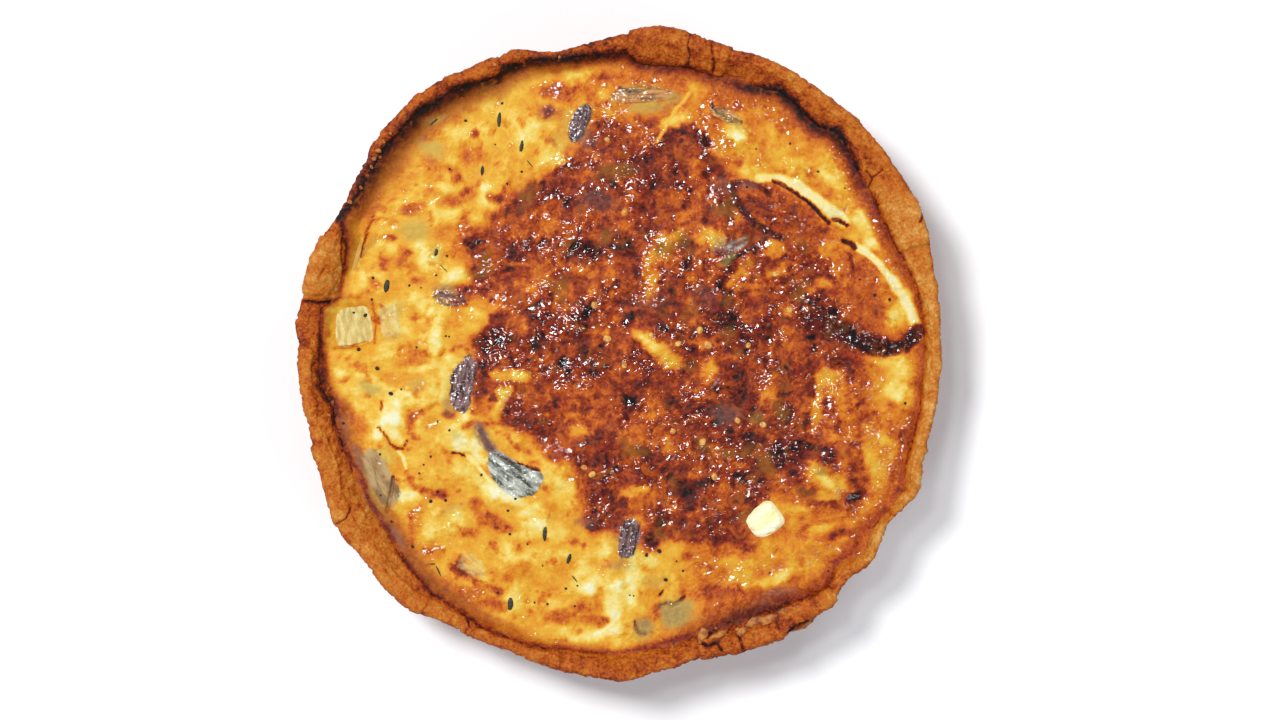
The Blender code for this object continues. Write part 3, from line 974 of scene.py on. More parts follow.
    (108, 22, 6, 8, .14), (96, 60, 12, 4, .68, -55), (90, 67, 12, 4, .68, -60), (99, 42, 9, 4, .62, -45),
    (104, 36, 10, 4, .66, -52), (108, 29, 9, 3, .66, -60), (85, 75, 10, 3, .66, -50),
    (64, 93, 12, 4, .62, -35), (50, 100, 16, 4, .70, -15),
    # front right, orange
    (20, -72, 9, 7, .30), (12, -76, 8, 6, .22), (4, -85, 17, 8, .10, 88), (15, -83, 12, 9, .34),
    (12, -90, 10, 6, .36), (23, -79, 10, 7, .30), (43, -78, 9, 6, .24), (46, -83, 8, 7, .30),
    (38, -80, 8, 6, .46), (53, -77, 10, 5, .36), (63, -81, 15, 4, .26, 15), (57, -84, 12, 4, .20, 15),
    (60, -73, 14, 7, .36), (66, -76, 8, 5, .28), (73, -78, 10, 7, .34), (78, -74, 10, 8, .40),
    (85, -70, 9, 4, .48), (68, -68, 10, 5, .34), (75, -64, 14, 3, .30, 15), (66, -62, 8, 6, .36),
    (70, -59, 10, 5, .44), (80, -60, 12, 5, .50), (85, -57, 9, 6, .72), (88, -52, 9, 4, .94, 40),
    (87, -56, 8, 4, .80), (79, -56.5, 14, 3, .64, 8), (32, -74, 9, 5, .48), (25, -75, 6, 4, .60),
    (75, -45, 15, 7, .28, -48), (77, -46.5, 12, 3.5, .14, -45), (82, -47, 8, 6, .32, 85),
    (76, -52.5, 9, 4, .28), (84, -26, 30, 13, .56, 82), (90, -46, 12, 4, .64, 80), (80, -12, 14, 11, .50),
    (89, -9, 10, 8, .66), (84, -37, 14, 6, .60, 85), (75, -12, 15, 4, .40, 70), (73, -22, 13, 3.5, .42, 80),
    (78, -7, 9, 5, .34), (93, -36, 11, 7, .26, 85), (96, -42, 9, 8, .28), (97, -30, 11, 7, .38, 85),
    (97, -14, 15, 6, .36, 88), (104, -7, 15, 9, .19, 88), (103, -13, 8, 8, .11), (109, -14, 10, 4, .24, 88),
    (100, -1, 10, 8, .20), (100, -22, 8, 6, .44), (98, -48, 11, 6, .38), (94, -57, 10, 7, .40),
    (107, -29, 11, 4, .74, 65), (109, -23, 8, 3, .66, 75), (103, -38, 12, 4, .60, 68),
    (101, -47, 10, 3, .62, 65), (96, -57, 14, 3, .58, 58), (90, -65, 12, 3, .62, 42),
    (82, -66.5, 16, 3, .66, 10), (35, -88, 15, 5, .70, 3), (43, -88, 9, 4, .66), (50, -90, 14, 4, .48),
    (61, -88, 18, 3, .58, 8), (74, -87, 12, 3, .68, 5), (58, -95, 13, 9, .64), (52, -97, 8, 8, .68),
    (46, -98, 9, 5, .92), (31, -97, 12, 6, .44), (12, -97, 12, 6, .42), (22, -101, 16, 4, .52, 5),
    (48, -74, 10, 4, .56), (62, -67, 8, 3, .46), (88, -76, 8, 4, .56, 45),
)
VEILS = (
    (-70, 77, 11, 6, .75, -30), (-76, 47, 12, 9, .75), (-68, 88, 9, 3, .55, 25), (-97, 37, 13, 4, .45, 75),
    (-93, -12, 9, 4, .9, -30), (-75, -11, 7, 5, .5), (-60, -30, 5, 4, .5), (-64, -14, 16, 3, .4, 88),
    (-83, 18, 9, 5, .45), (-68, 38, 4, 8, .5), (-62, -57, 9, 4, .5, 20), (-49, 100, 8, 3, .3, 20),
    (10, 92, 18, 4, .8), (20, 96, 6, 5, .7, 30), (42, 88, 12, 4, .6, -28), (13, -84, 10, 6, .4),
    (-22, 80, 6, 12, .35), (-90, -52, 14, 7, .5, -60), (-87, -37, 8, 6, .4), (-91, -46, 12, 5, .6, -65),
    (40, 36, 9, 3, .5, 30), (8, 99, 16, 3, .6), (-20, 88, 5, 8, .4), (52, -24, 6, 4, .3),
    (-84, 7, 10, 4, .4), (26, -97, 8, 5, .5),
)
ASHES = (
    (-65, 24, 9, 6, .8), (-63, -18, 5, 8, .4), (-97, -38, 12, 4, .6, -60), (-84, -66, 14, 4, .6, -50),
    (58, -95, 12, 10, .5), (40, -22, 12, 8, .5), (-8, 58, 14, 8, .35), (-12, 80, 6, 8, .5),
    (-51, -29, 9, 5, 1.0, -60), (-47, -34, 7, 4, 1.0, -40), (-12, -62, 8, 5, .5), (38, 41, 6, 6, .7),
    (48, 64, 8, 4, .5), (4, 98, 8, 3, .5), (-27, 90, 7, 6, .3), (38, 63, 8, 5, .35),
    (60, -88, 14, 3, .4, 5), (-104, -24, 14, 3, .5, -70), (0, -78, 12, 4, .35), (21, -96, 13, 11, .5),
    (9, -101.4, 7, 8, .55), (32, 22, 10, 8, .25), (12, 20, 14, 6, .25), (3, -68, 12, 12, .3),
    (-92, 42, 8, 3, .3, 60),
)
WETS = (
    (-52, 27, 10, 8, .9), (-17, 47, 10, 8, .9), (-58, 47, 8, 6, .8), (-27, 25, 12, 9), (-25, 15, 9, 7),
    (-24, 99, 12, 7), (-5, 13, 8, 7), (-4, 91, 12, 6), (-48, 5, 14, 10, 1, 20), (-13, 40, 8, 6),
    (-22, 12, 20, 14, .9), (-8, 20, 14, 12, .9), (-70, -72, 10, 9), (-56, -88, 16, 5), (-35, -97, 5, 6),
    (-32, -103, 5, 4), (-66, -65, 14, 10, .8), (-78, 55, 14, 7, .7, 20), (-89, 45, 6, 8, .8),
    (-40, -17, 10, 12, .9), (-35, -2, 20, 8, .9), (-19, -5, 16, 9), (-25, -33, 10, 6), (-8, -57, 12, 10),
    (-70, -24, 8, 6, .8), (-77, -20, 9, 6, .8, 20), (12, 28, 15, 8, 1, 82), (15, 40, 16, 8, 1, 50),
    (45, 30, 16, 10, 1, 55), (63, 24, 12, 14), (67, 38, 12, 8), (74, 16, 16, 12), (83, 17, 9, 8, .9),
    (38, 28, 10, 10), (38, 78, 14, 8, 1, -40), (55, 93, 10, 6, .9), (95, 57, 12, 6, .9, -60),
    (86, 71, 14, 5, .9, -60), (105, 32, 16, 5, .8, -55), (40, 12, 14, 8), (55, 8, 14, 8), (5, -2, 8, 8, .9),
    (20, -5, 8, 6, .9), (27, -14, 12, 8, .9), (35, -37, 9, 13), (42, -42, 16, 8), (47, -48, 14, 8),
    (62, -36, 12, 10), (55, -6, 10, 12), (76, -10, 16, 6, 1, 65), (73, -24, 14, 4, 1, 80), (63, -24, 8, 8),
    (89, -59, 8, 6), (96, -12, 12, 5, .9, 80), (103, -32, 22, 6, .9, 65), (99, -48, 14, 6, .9, 60),
    (38, -81, 12, 8), (45, -82, 8, 8, .9), (18, -34, 16, 7, .9), (2, -40, 8, 4), (36, -58, 12, 10, .9),
    (76, -74, 16, 8, .8), (90, -64, 14, 5, .9, 45), (66, -75, 10, 6, .8), (60, -92, 14, 8, .7),
    (15, 54, 20, 14, .5), (3, 70, 10, 14, .8), (0, 45, 14, 20, .5), (10, -18, 24, 8, .6),
    (-58, 14, 10, 6, .6), (-62, -40, 26, 14, .45), (-88, -8, 20, 8, .5), (-96, 10, 20, 14, .3),
    (80, -5, 8, 14, .9), (80, -18, 6, 16, .9, 10), (94, -10, 6, 18, .8), (96, -30, 8, 14, .8, 20),
    (97, -44, 8, 12, .9), (40, 95, 16, 6, .7, -15), (60, 88, 12, 6, .7, -25), (33, 84, 10, 8, .8),
    (48, 78, 10, 6, .7), (66, 66, 12, 6, .6, -20), (88, 60, 8, 5, .7, -50), (20, -92, 14, 5, .7),
    (8, -80, 8, 6, .6), (32, -76, 12, 5, .8), (55, -78, 12, 6, .8), (-82, -2, 10, 5, .7),
    (-75, -58, 8, 8, .8), (-84, -56, 6, 12, .7, 40), (-92, -64, 10, 4, .7, -50), (-30, -86, 10, 5, .7),
    (-15, -96, 12, 4, .7), (-48, -70, 10, 6, .6), (-68, 58, 10, 6, .7), (-64, 48, 8, 5, .7),
    (-80, 30, 8, 5, .6),
)
RISES = (
    (-58, 83, 14, 9, .5, 20), (-63, 64, 12, 8, .5, 30), (-61, 30, 11, 8, .9), (-69, 8, 20, 8, .6, 80),
    (-85, -21, 18, 10, .7, 90), (-80, -17, 14, 8, .5, 10), (-66, -44, 22, 12, .8),
    (-57, -33, 15, 8, .5, -20), (-72, -12, 10, 12, .6), (-41, -53, 16, 6, .6, -12),
    (-24, -43, 12, 9, .7, 40), (-37, -7, 10, 5, .8, -20), (-44, -17, 14, 6, .7, 80),
    (-40, -80, 16, 10, .5, 20), (-13, -86, 12, 8, .4), (-2, -90, 22, 8, .5, 88), (14, 3, 18, 7, .9, -38),
    (15, 39, 18, 8, .6, 55), (36, 44, 9, 9, .8), (58, 40, 13, 9, .6), (34, -6, 10, 7, .6, 85),
    (56, -14, 15, 8, .8, 78), (76, -46, 17, 10, .9, -48), (84, -25, 34, 16, .9, 82),
    (94, -37, 14, 9, .7, 85), (104, -10, 18, 10, .5, 88), (88, -54, 10, 5, -1.0, 40), (25, -50, 10, 9, -.6),
    (62, -36, 11, 9, .6), (5, -14, 9, 6, -.6), (-48, 6, 13, 10, -.5, 20), (40, 12, 13, 5, -.6),
    (75, 12, 13, 10, -.5), (9, -52, 12, 9, .5), (-10, -18, 26, 14, .4), (5, -27, 22, 16, .4),
    (-59, -80, 9, 5, -.7, -20), (66, -72, 20, 9, .5, 10), (60, -83, 18, 6, .5, 15), (20, -74, 10, 8, .4),
    (50, -72, 20, 3, -.5, -10), (65, 74, 22, 10, .4), (89, 52, 16, 9, .4, -55), (43, 84, 11, 7, .3, -20),
)
TONE_HOLD = 0.9  # how far a daub's own tone replaces what lies under it
DAUBS = {
    Channel.TONE: TONES,
    Channel.VEIL: VEILS,
    Channel.ASH: ASHES,
    Channel.WET: WETS,
    Channel.RISE: RISES,
}

PALE_SPLITS = (
    Trail(3.4, 0.06, ((52, 66.2), (58, 66.3))),
    Trail(4.6, 0.02, ((60, 65.6), (66, 63.4), (72, 59.6), (78, 54.6), (84, 50))),
    Trail(2.8, 0.02, ((87, 41.4), (92, 38.8), (97, 33.6), (101.5, 28.5))),
    Trail(4.0, 0.02, ((101.5, 28.5), (105, 23), (108.5, 17), (110.8, 11), (111, 8))),
    Trail(1.4, 0.03, ((-9, -103.5), (-4, -101), (0, -96))),
    Trail(1.6, 0.06, ((-57, -37.5), (-53, -40), (-49, -45), (-44, -51))),
    Trail(1.2, 0.06, ((-82, -35), (-80, -38), (-79.5, -42))),
    Trail(1.4, 0.22, ((14, 80), (17, 84), (19, 89), (23, 94), (26, 98))),
    Trail(1.6, 0.48, ((-40, 34.5), (-33, 34))),
)
CRUMBLY = Zone(0.62, 3.0, (
    (30, -94), (40, -90), (52, -88), (66, -87), (80, -84), (78, -90), (68, -97), (56, -101), (44, -103),
    (34, -104),
))
LEEK_SQUARES = (
    Zone(0.85, 0.6, ((15, -92.8), (21, -91.4), (27.6, -90.6), (26.8, -95.6), (24.8, -100.6), (16.2, -101.4))),
    Zone(0.75, 0.5, ((6.4, -98.6), (11.2, -98), (11.8, -103.4), (7, -104.4))),
)
# Cracks and gaps in the custard and round the edges of sunk pieces: carved, and painted dark as the shade in
# them.
GAP_SHADE_LINES = (
    Trail(1.3, 0.99, ((79.5, 51), (82, 50.4), (85, 48.6))),
    Trail(2.0, 0.97, ((83.6, 43), (86, 42.2), (87.6, 40.4))),
    Trail(0.8, 0.84, ((86, 38), (86.6, 35), (87.4, 32))),
    Trail(0.8, 0.80, ((-88.5, -17), (-88.4, -20))),
    Trail(0.8, 0.78, (
        (-89.4, -26.6), (-87, -29.6), (-85, -32.6), (-83, -34.4), (-80.4, -34.6), (-78.6, -31.4),
    )),
    Trail(0.9, 0.88, ((-62, -36), (-59.4, -36.2), (-57.4, -37.4))),
    Trail(1.0, 0.95, ((15, -89.4), (16.4, -87.6))),
    Trail(1.1, 0.95, ((15.4, -93.2), (18, -92), (20.6, -92.4), (22.6, -91.2), (24, -89.8))),
    Trail(0.9, 0.9, ((6, -99), (7.4, -103), (9.6, -103.6))),
    Trail(0.9, 0.72, ((-96, 37), (-95, 42), (-93.6, 47), (-91.5, 52))),
    Trail(1.0, 0.7, ((-84, -45), (-84.8, -51), (-86.4, -58))),
    Trail(0.8, 0.55, ((-91.8, 19.5), (-90.6, 14), (-91, 8), (-91, 5))),
    Trail(1.0, 0.50, ((-106, 3), (-100, 3.4), (-94, 5))),
)


SKINS = (
    Trail(1.5, 0.99, ((57, 65), (61, 63.4), (66, 60.6), (70, 57.6), (74, 53.6), (78, 49.6))),
    Trail(2.8, 0.90, ((42.4, 64), (42.6, 60), (44.6, 56), (48, 51.6), (52, 48), (57, 45.4), (61, 44))),
    Trail(1.8, 0.84, ((42.4, 64.2), (47, 65), (52, 63), (56, 59.6))),
    Trail(8.0, 0.84, ((74, 14), (80, 11.5), (86, 8.5), (92, 5), (98, 3.4))),
    Trail(5.4, 0.96, ((84, 9), (88, 6.4), (92.5, 4.2), (97, 2.8), (102, 2.6), (106, 4), (109, 6.6),
                      (111, 9.6))),
    Trail(1.6, 0.97, ((38.6, 35), (43, 36.6), (47.4, 39), (50.4, 41.4))),
    Trail(2.0, 0.96, ((-51.4, -27.6), (-49, -33), (-45, -36.6), (-40, -39.8), (-35, -41.6), (-30, -42.6))),
    Trail(1.2, 0.96, ((0, 99.4), (4, 98), (8, 98.4), (12, 99.4))),
    Trail(1.2, 0.96, ((34.4, 93.6), (36.6, 90.4), (40.4, 88.6), (45.6, 87.2))),
)
# The dark line between pastry and custard, with its width and darkness round the quiche: burnt pastry, and
# partly painted shadow of the rim, most at the back left from about 95 to 155 degrees, under the back flap
# and on the left.
RIM_LINE: tuple[Place, ...] = (
    (113, 2), (112.5, 15), (110, 26), (106, 34.3), (100, 45), (95.4, 55.8), (92.3, 60.5), (89.2, 65),
    (87.7, 71.2), (84.6, 77.4), (80, 82.8), (73.8, 85), (67.7, 90.5), (64.6, 94.3), (60, 98), (53.8, 98.9),
    (44.6, 100.5), (36, 103.5), (31, 105), (26, 107), (16, 107.5), (8, 108.5), (2, 112), (-8, 111.2),
    (-17.3, 110.5), (-25, 109.7), (-34.2, 108.9), (-42, 105.8), (-45, 102.8), (-55.8, 100.5), (-63.5, 96.6),
    (-74.2, 89.7), (-78.8, 85), (-85, 77.4), (-91.9, 68.2), (-96.5, 58.9), (-103.5, 51.2), (-101, 42),
    (-102, 32), (-104, 22), (-110.5, 17.4), (-111, 5), (-110.4, -12), (-106, -18), (-103.5, -30.4),
    (-100.4, -38), (-95, -47.3), (-92, -55), (-86.5, -64.2), (-80.4, -75), (-71.2, -85.8), (-58.8, -95),
    (-45, -102.7), (-32.7, -107.3), (-17.3, -108.8), (0, -110.4), (10, -108.5), (20, -106), (30, -103.5),
    (40, -99), (50, -96), (60, -92), (70, -89), (77, -85.8), (80, -78), (86, -72), (92.3, -64.2),
    (98.5, -58), (104.6, -48.8), (106, -39.6), (110, -25.8), (112.3, -13.5),
)
RIM_WIDTH = Turned.from_marks({
    0: 2.2, 20: 2.6, 30: 3.4, 38: 4.4, 45: 5, 56: 5, 66: 3.5, 74: 4, 82: 4.6, 92: 4, 104: 3.6, 115: 4.6,
    130: 5.4, 140: 5.4, 152: 4.4, 159: 2.6, 165: 1.6, 172: 1.8, 178: 2.4, 185: 4.5, 191: 4.5, 198: 2.6,
    215: 2.4, 240: 2.2, 255: 1.8, 270: 1.8, 280: 2.6, 295: 4.5, 306: 4.5, 313: 2.8, 322: 2.0, 345: 2.2,
})
RIM_BURN_AND_SHADOW = Turned.from_marks({
    0: .62, 15: .66, 26: .72, 34: .80, 41: .90, 47: .97, 58: .97, 64: .90, 70: .82, 78: .76, 86: .82,
    93: .90, 103: .95, 112: .96, 140: .96, 150: .94, 158: .80, 165: .68, 172: .80, 184: .88, 191: .84,
    200: .78, 225: .78, 245: .76, 258: .70, 272: .70, 285: .78, 295: .84, 305: .76, 314: .68, 330: .70,
    350: .64,
})
EDGE_WIDTH = Turned.from_marks({
    0: 4, 12: 4, 30: 7, 45: 8, 60: 8, 75: 6, 90: 5, 105: 8, 120: 12, 140: 12, 152: 9, 162: 4, 180: 4,
    190: 8, 205: 9, 225: 9, 240: 8, 255: 4, 270: 3, 285: 7, 300: 8, 315: 6, 330: 5, 345: 5,
})
EDGE_TONE = Turned.from_marks({
    0: .56, 20: .6, 35: .66, 50: .64, 65: .58, 80: .52, 92: .56, 105: .54, 120: .54, 140: .54, 152: .5,
    162: .36, 175: .42, 190: .62, 205: .58, 225: .60, 240: .58, 255: .50, 270: .40, 285: .56, 300: .66,
    315: .58, 330: .58, 345: .62,
})
# How much dull olive the custard's edge band takes round the quiche; at the back left, from about 105 to 155
# degrees, it is partly painted shade of the wall.
EDGE_OLIVE_SHADE = Turned.from_marks({
    30: .2, 60: .3, 85: .3, 105: .7, 120: .85, 145: .85, 155: .6, 163: .3, 190: .5, 230: .6, 250: .3,
    270: .1, 300: .4, 320: .1,
})


RAGGED, FRAYED = Grain(11, 7), Grain(-11, 2.4, 2)
BENT_X, BENT_Y = Grain(50, 8, 4, 0.6), Grain(-50, 8, 4, 0.6)
UNEVEN = Grain(150, 3.2, 4, 0.7)
YELLOW_GROUND, BROWN_GROUND = Grain(0, 15, 4, 0.6), Grain(9, 11)
WET_GROUND, OLIVE_GROUND = Grain(19, 8), Grain(29, 13)
LUMPS = Grain(21, 8, 4, 0.6)
BLOTCHES = Grain(61, 6.0, 4, 0.6)
MOTTLES = Grain(71, 4.2, 4, 0.65)
BURNS = Grain(15, 7.5, 4, 0.65)
WRINKLES = Grain(41, 2.8, 2, 0.6)
WASHES = Grain(81, 5)
BREAKS = Grain(95, 4.5, 4, 0.65)
FOLDS = (31, 4.4)  # of the ridges: where they are read, and their size
CRUMBS_GRAIN = (131, 3.0)


def line_radius(bearing: Array) -> Array:
    """The radius of the dark line that parts pastry from custard, at each bearing."""
    marks = {math.degrees(math.atan2(y, x)) % 360: math.hypot(x, y) for x, y in RIM_LINE}
    return Turned.from_marks(marks).at(bearing)


class Bake:
    """How the top baked at a set of places: its colour, with some shade and highlight painted into it, its
    shine and its fine shape.

    Where an amount has two values, the first is for the yellow parts and the second for the browned ones.
    """

    BEND = 2.0  # how far the patches' edges are pulled about, in mm
    LINE_BEND = 0.3  # the share of that which the lines take
    SPLIT_BEND = 0.4
    LINE_DEPTH = 1.1
    SKIN_RISE = 0.2
    SKIN_WET = 0.19  # for each mm of its width
    YELLOW_TONE = 0.31
    OLIVE_MOST = 0.8
    WET_LEVEL = (0.44, 0.50)
    WET_CHANGE = (0.5, 0.75)
    WET_SHARE = (0.76, 1.0)
    BLOTCH_TONE = (0.24, 0.17)
    # how much paler the lumps' tops are: partly a paler colour, partly painted highlight
    LUMP_PALE_AND_HIGHLIGHT = 0.13
    MOTTLE_TONE = (0.08, 0.13)
    # painted shade in the creases between the folds
    CREASE_SHADE_TONE = 0.22
    BURN_TONE = 0.24
    AMBER_TONE = 0.08
    LUMP_RISE = (0.6, 0.5)
    FOLD_RISE = (0.15, 0.5)
    WRINKLE_RISE = (0.04, 0.10)  # where it is dry and where it is wet
    CRUMB_RISE = 1.6

    def __init__(self, x: Array, y: Array) -> None:
        """Work everything out.

        Args:
            x: the places, in mm.
            y: the same.
        """
        self.field, self.points = Noise(11), flat_points(x, y)
        bearing = np.degrees(np.arctan2(y, x)) % 360
        ragged = 0.8 * self.grain(RAGGED) + 0.4 * self.grain(FRAYED)
        self.gap = line_radius(bearing) - np.hypot(x, y) + ragged
        bent = x + self.BEND * self.grain(BENT_X), y + self.BEND * self.grain(BENT_Y)
        self.values = {channel: np.zeros(len(x)) for channel in Channel}
        self.brown = BROWN_ZONE.cover(*bent)
        self.right = RIGHT_ZONE.cover(*bent)
        self.lay_ground()
        uneven = 0.35 * self.grain(UNEVEN)
        for channel, rows in DAUBS.items():
            hold = TONE_HOLD if channel is Channel.TONE else 1.0
            for row in rows:
                Daub(*row, hold=hold).lay(*bent, self.values[channel], uneven)
        lines = blend(x, bent[0], self.LINE_BEND), blend(y, bent[1], self.LINE_BEND)
        for square in LEEK_SQUARES:
            self.raise_to(Channel.VEIL, square.value * square.cover(*lines))
        self.roughen()
        self.bake_edge(bearing)
        tone, rise = self.values[Channel.TONE], self.values[Channel.RISE]
        for trail in PALE_SPLITS:
            trail.lay(blend(x, bent[0], self.SPLIT_BEND), blend(y, bent[1], self.SPLIT_BEND), tone)
        # Gaps are painted dark as the shade in them; skins keep their own dark colour.
        for trail in GAP_SHADE_LINES + SKINS:
            trail.lay(*lines, tone)
        for trail in GAP_SHADE_LINES:
            rise -= self.LINE_DEPTH * trail.cover(x, y, 0.9, 0.2)
        for trail in SKINS:
            share = trail.cover(x, y, 0.9, 0.3)
            self.raise_to(Channel.WET, share * min(1.0, self.SKIN_WET * trail.width))
            rise += self.SKIN_RISE * share

    def grain(self, grain: Grain) -> Array:
        """A layered field at the places."""
        return grain.at(self.field, self.points)

    def ridges(self, shift: float, size: float) -> Array:
        """Winding ridges at the places."""
        return self.field.ridges(self.points + shift, size)

    def raise_to(self, channel: Channel, least: Array) -> None:
        """Bring a channel up to at least these values."""
        self.values[channel] = np.maximum(self.values[channel], least)

    def kept(self) -> dict[str, Array]:
        """What the places keep for the material."""
        shown = [channel for channel in self.values if channel is not Channel.RISE]
        return {channel.value: self.values[channel] for channel in shown}

    def lay_ground(self) -> None:
        """Lay the wide zones and their mottling under the daubs."""
        tone = blend(self.YELLOW_TONE, RIGHT_ZONE.value, self.right) + 0.10 * self.grain(YELLOW_GROUND)
        brown = BROWN_ZONE.value + 0.20 * self.grain(BROWN_GROUND)
        self.values[Channel.TONE] = blend(tone, brown, self.brown)
        change = blend(*self.WET_CHANGE, self.brown)
        wet = blend(*self.WET_LEVEL, self.brown) + change * self.grain(WET_GROUND)
        self.values[Channel.WET] = np.clip(wet, 0, 1)
        self.values[Channel.OLIVE] = self.OLIVE_MOST * self.brown * ease(0.30, 0.62, self.grain(OLIVE_GROUND))

    def roughen(self) -> None:
        """Add the fine mottling, the lumps and the wrinkles, with painted shade in the creases and lump tops
        made paler, partly as painted highlight.
        """
        brown, yellow, warm = self.brown, 1 - self.brown, np.maximum(self.brown, self.right)
        tone, rise = self.values[Channel.TONE], self.values[Channel.RISE]
        lumps, folds = self.grain(LUMPS), self.ridges(*FOLDS)
        blotches = ease(0.12, 0.55, self.grain(BLOTCHES))
        tone += blend(*self.BLOTCH_TONE, self.right) * blotches * yellow * ease(0.05, 0.25, tone)
        # paler on the lumps' tops: partly a paler colour, partly painted highlight
        tone -= self.LUMP_PALE_AND_HIGHLIGHT * ease(0.0, 0.5, lumps) * yellow
        tone += blend(*self.MOTTLE_TONE, np.maximum(brown, 0.6 * self.right)) * self.grain(MOTTLES)
        # darker in the folds' valleys and paler on their ridges: painted shade
        tone += self.CREASE_SHADE_TONE * brown * (0.55 - folds)
        tone += self.BURN_TONE * ease(0.14, 0.56, self.grain(BURNS)) * brown * ease(0.4, 0.6, tone)
        tone -= self.AMBER_TONE * brown * ease(0.66, 0.52, tone) * ease(0.28, 0.46, tone)
        rise += blend(*self.LUMP_RISE, brown) * lumps + blend(*self.FOLD_RISE, brown) * (folds - 0.45)
        wet = np.clip(self.values[Channel.WET], 0, 1) * blend(*self.WET_SHARE, warm)
        rise += blend(*self.WRINKLE_RISE, wet) * self.grain(WRINKLES)
        crumbly = CRUMBLY.cover(self.points[:, 0], self.points[:, 1])
        crumbs = self.ridges(*CRUMBS_GRAIN) - 0.5
        rise += self.CRUMB_RISE * crumbly * crumbs
        tone[:] = blend(tone, CRUMBLY.value - 0.3 * crumbs, 0.8 * crumbly)
        self.values[Channel.WET] = wet

    def bake_edge(self, bearing: Array) -> None:
        """Brown the custard next to the shell, with partly painted shade of the wall at the back left, and
        darken the line between them: burnt, and partly painted shadow of the rim.

        Args:
            bearing: the places' bearings.
        """
        tone, gap = self.values[Channel.TONE], self.gap
        near = ease(1.0, 0.25, gap / EDGE_WIDTH.at(bearing))
        wash = near * (0.85 + 0.4 * self.grain(WASHES))
        tone[:] = blend(tone, EDGE_TONE.at(bearing), np.clip(wash, 0, 1))
        olive = np.clip(EDGE_OLIVE_SHADE.at(bearing) * near, 0, 1)
        self.raise_to(Channel.OLIVE, olive)
        broken = self.grain(BREAKS)
        line = ease(0.95, 0.05, np.abs(gap) / RIM_WIDTH.at(bearing)) * ease(-1.0, -0.1, broken)
        tone[:] = blend(tone, RIM_BURN_AND_SHADOW.at(bearing) + 0.06 * broken, line)
        for channel in (Channel.OLIVE, Channel.VEIL, Channel.ASH):
            self.values[channel] *= 1 - line
        self.values[Channel.WET] *= 1 - np.maximum(line, olive)
        # how far each place lies in the dark line: burnt, and partly painted shadow of the rim
        self.line = line


# ---------------------------------------------------------------- the pieces in the top


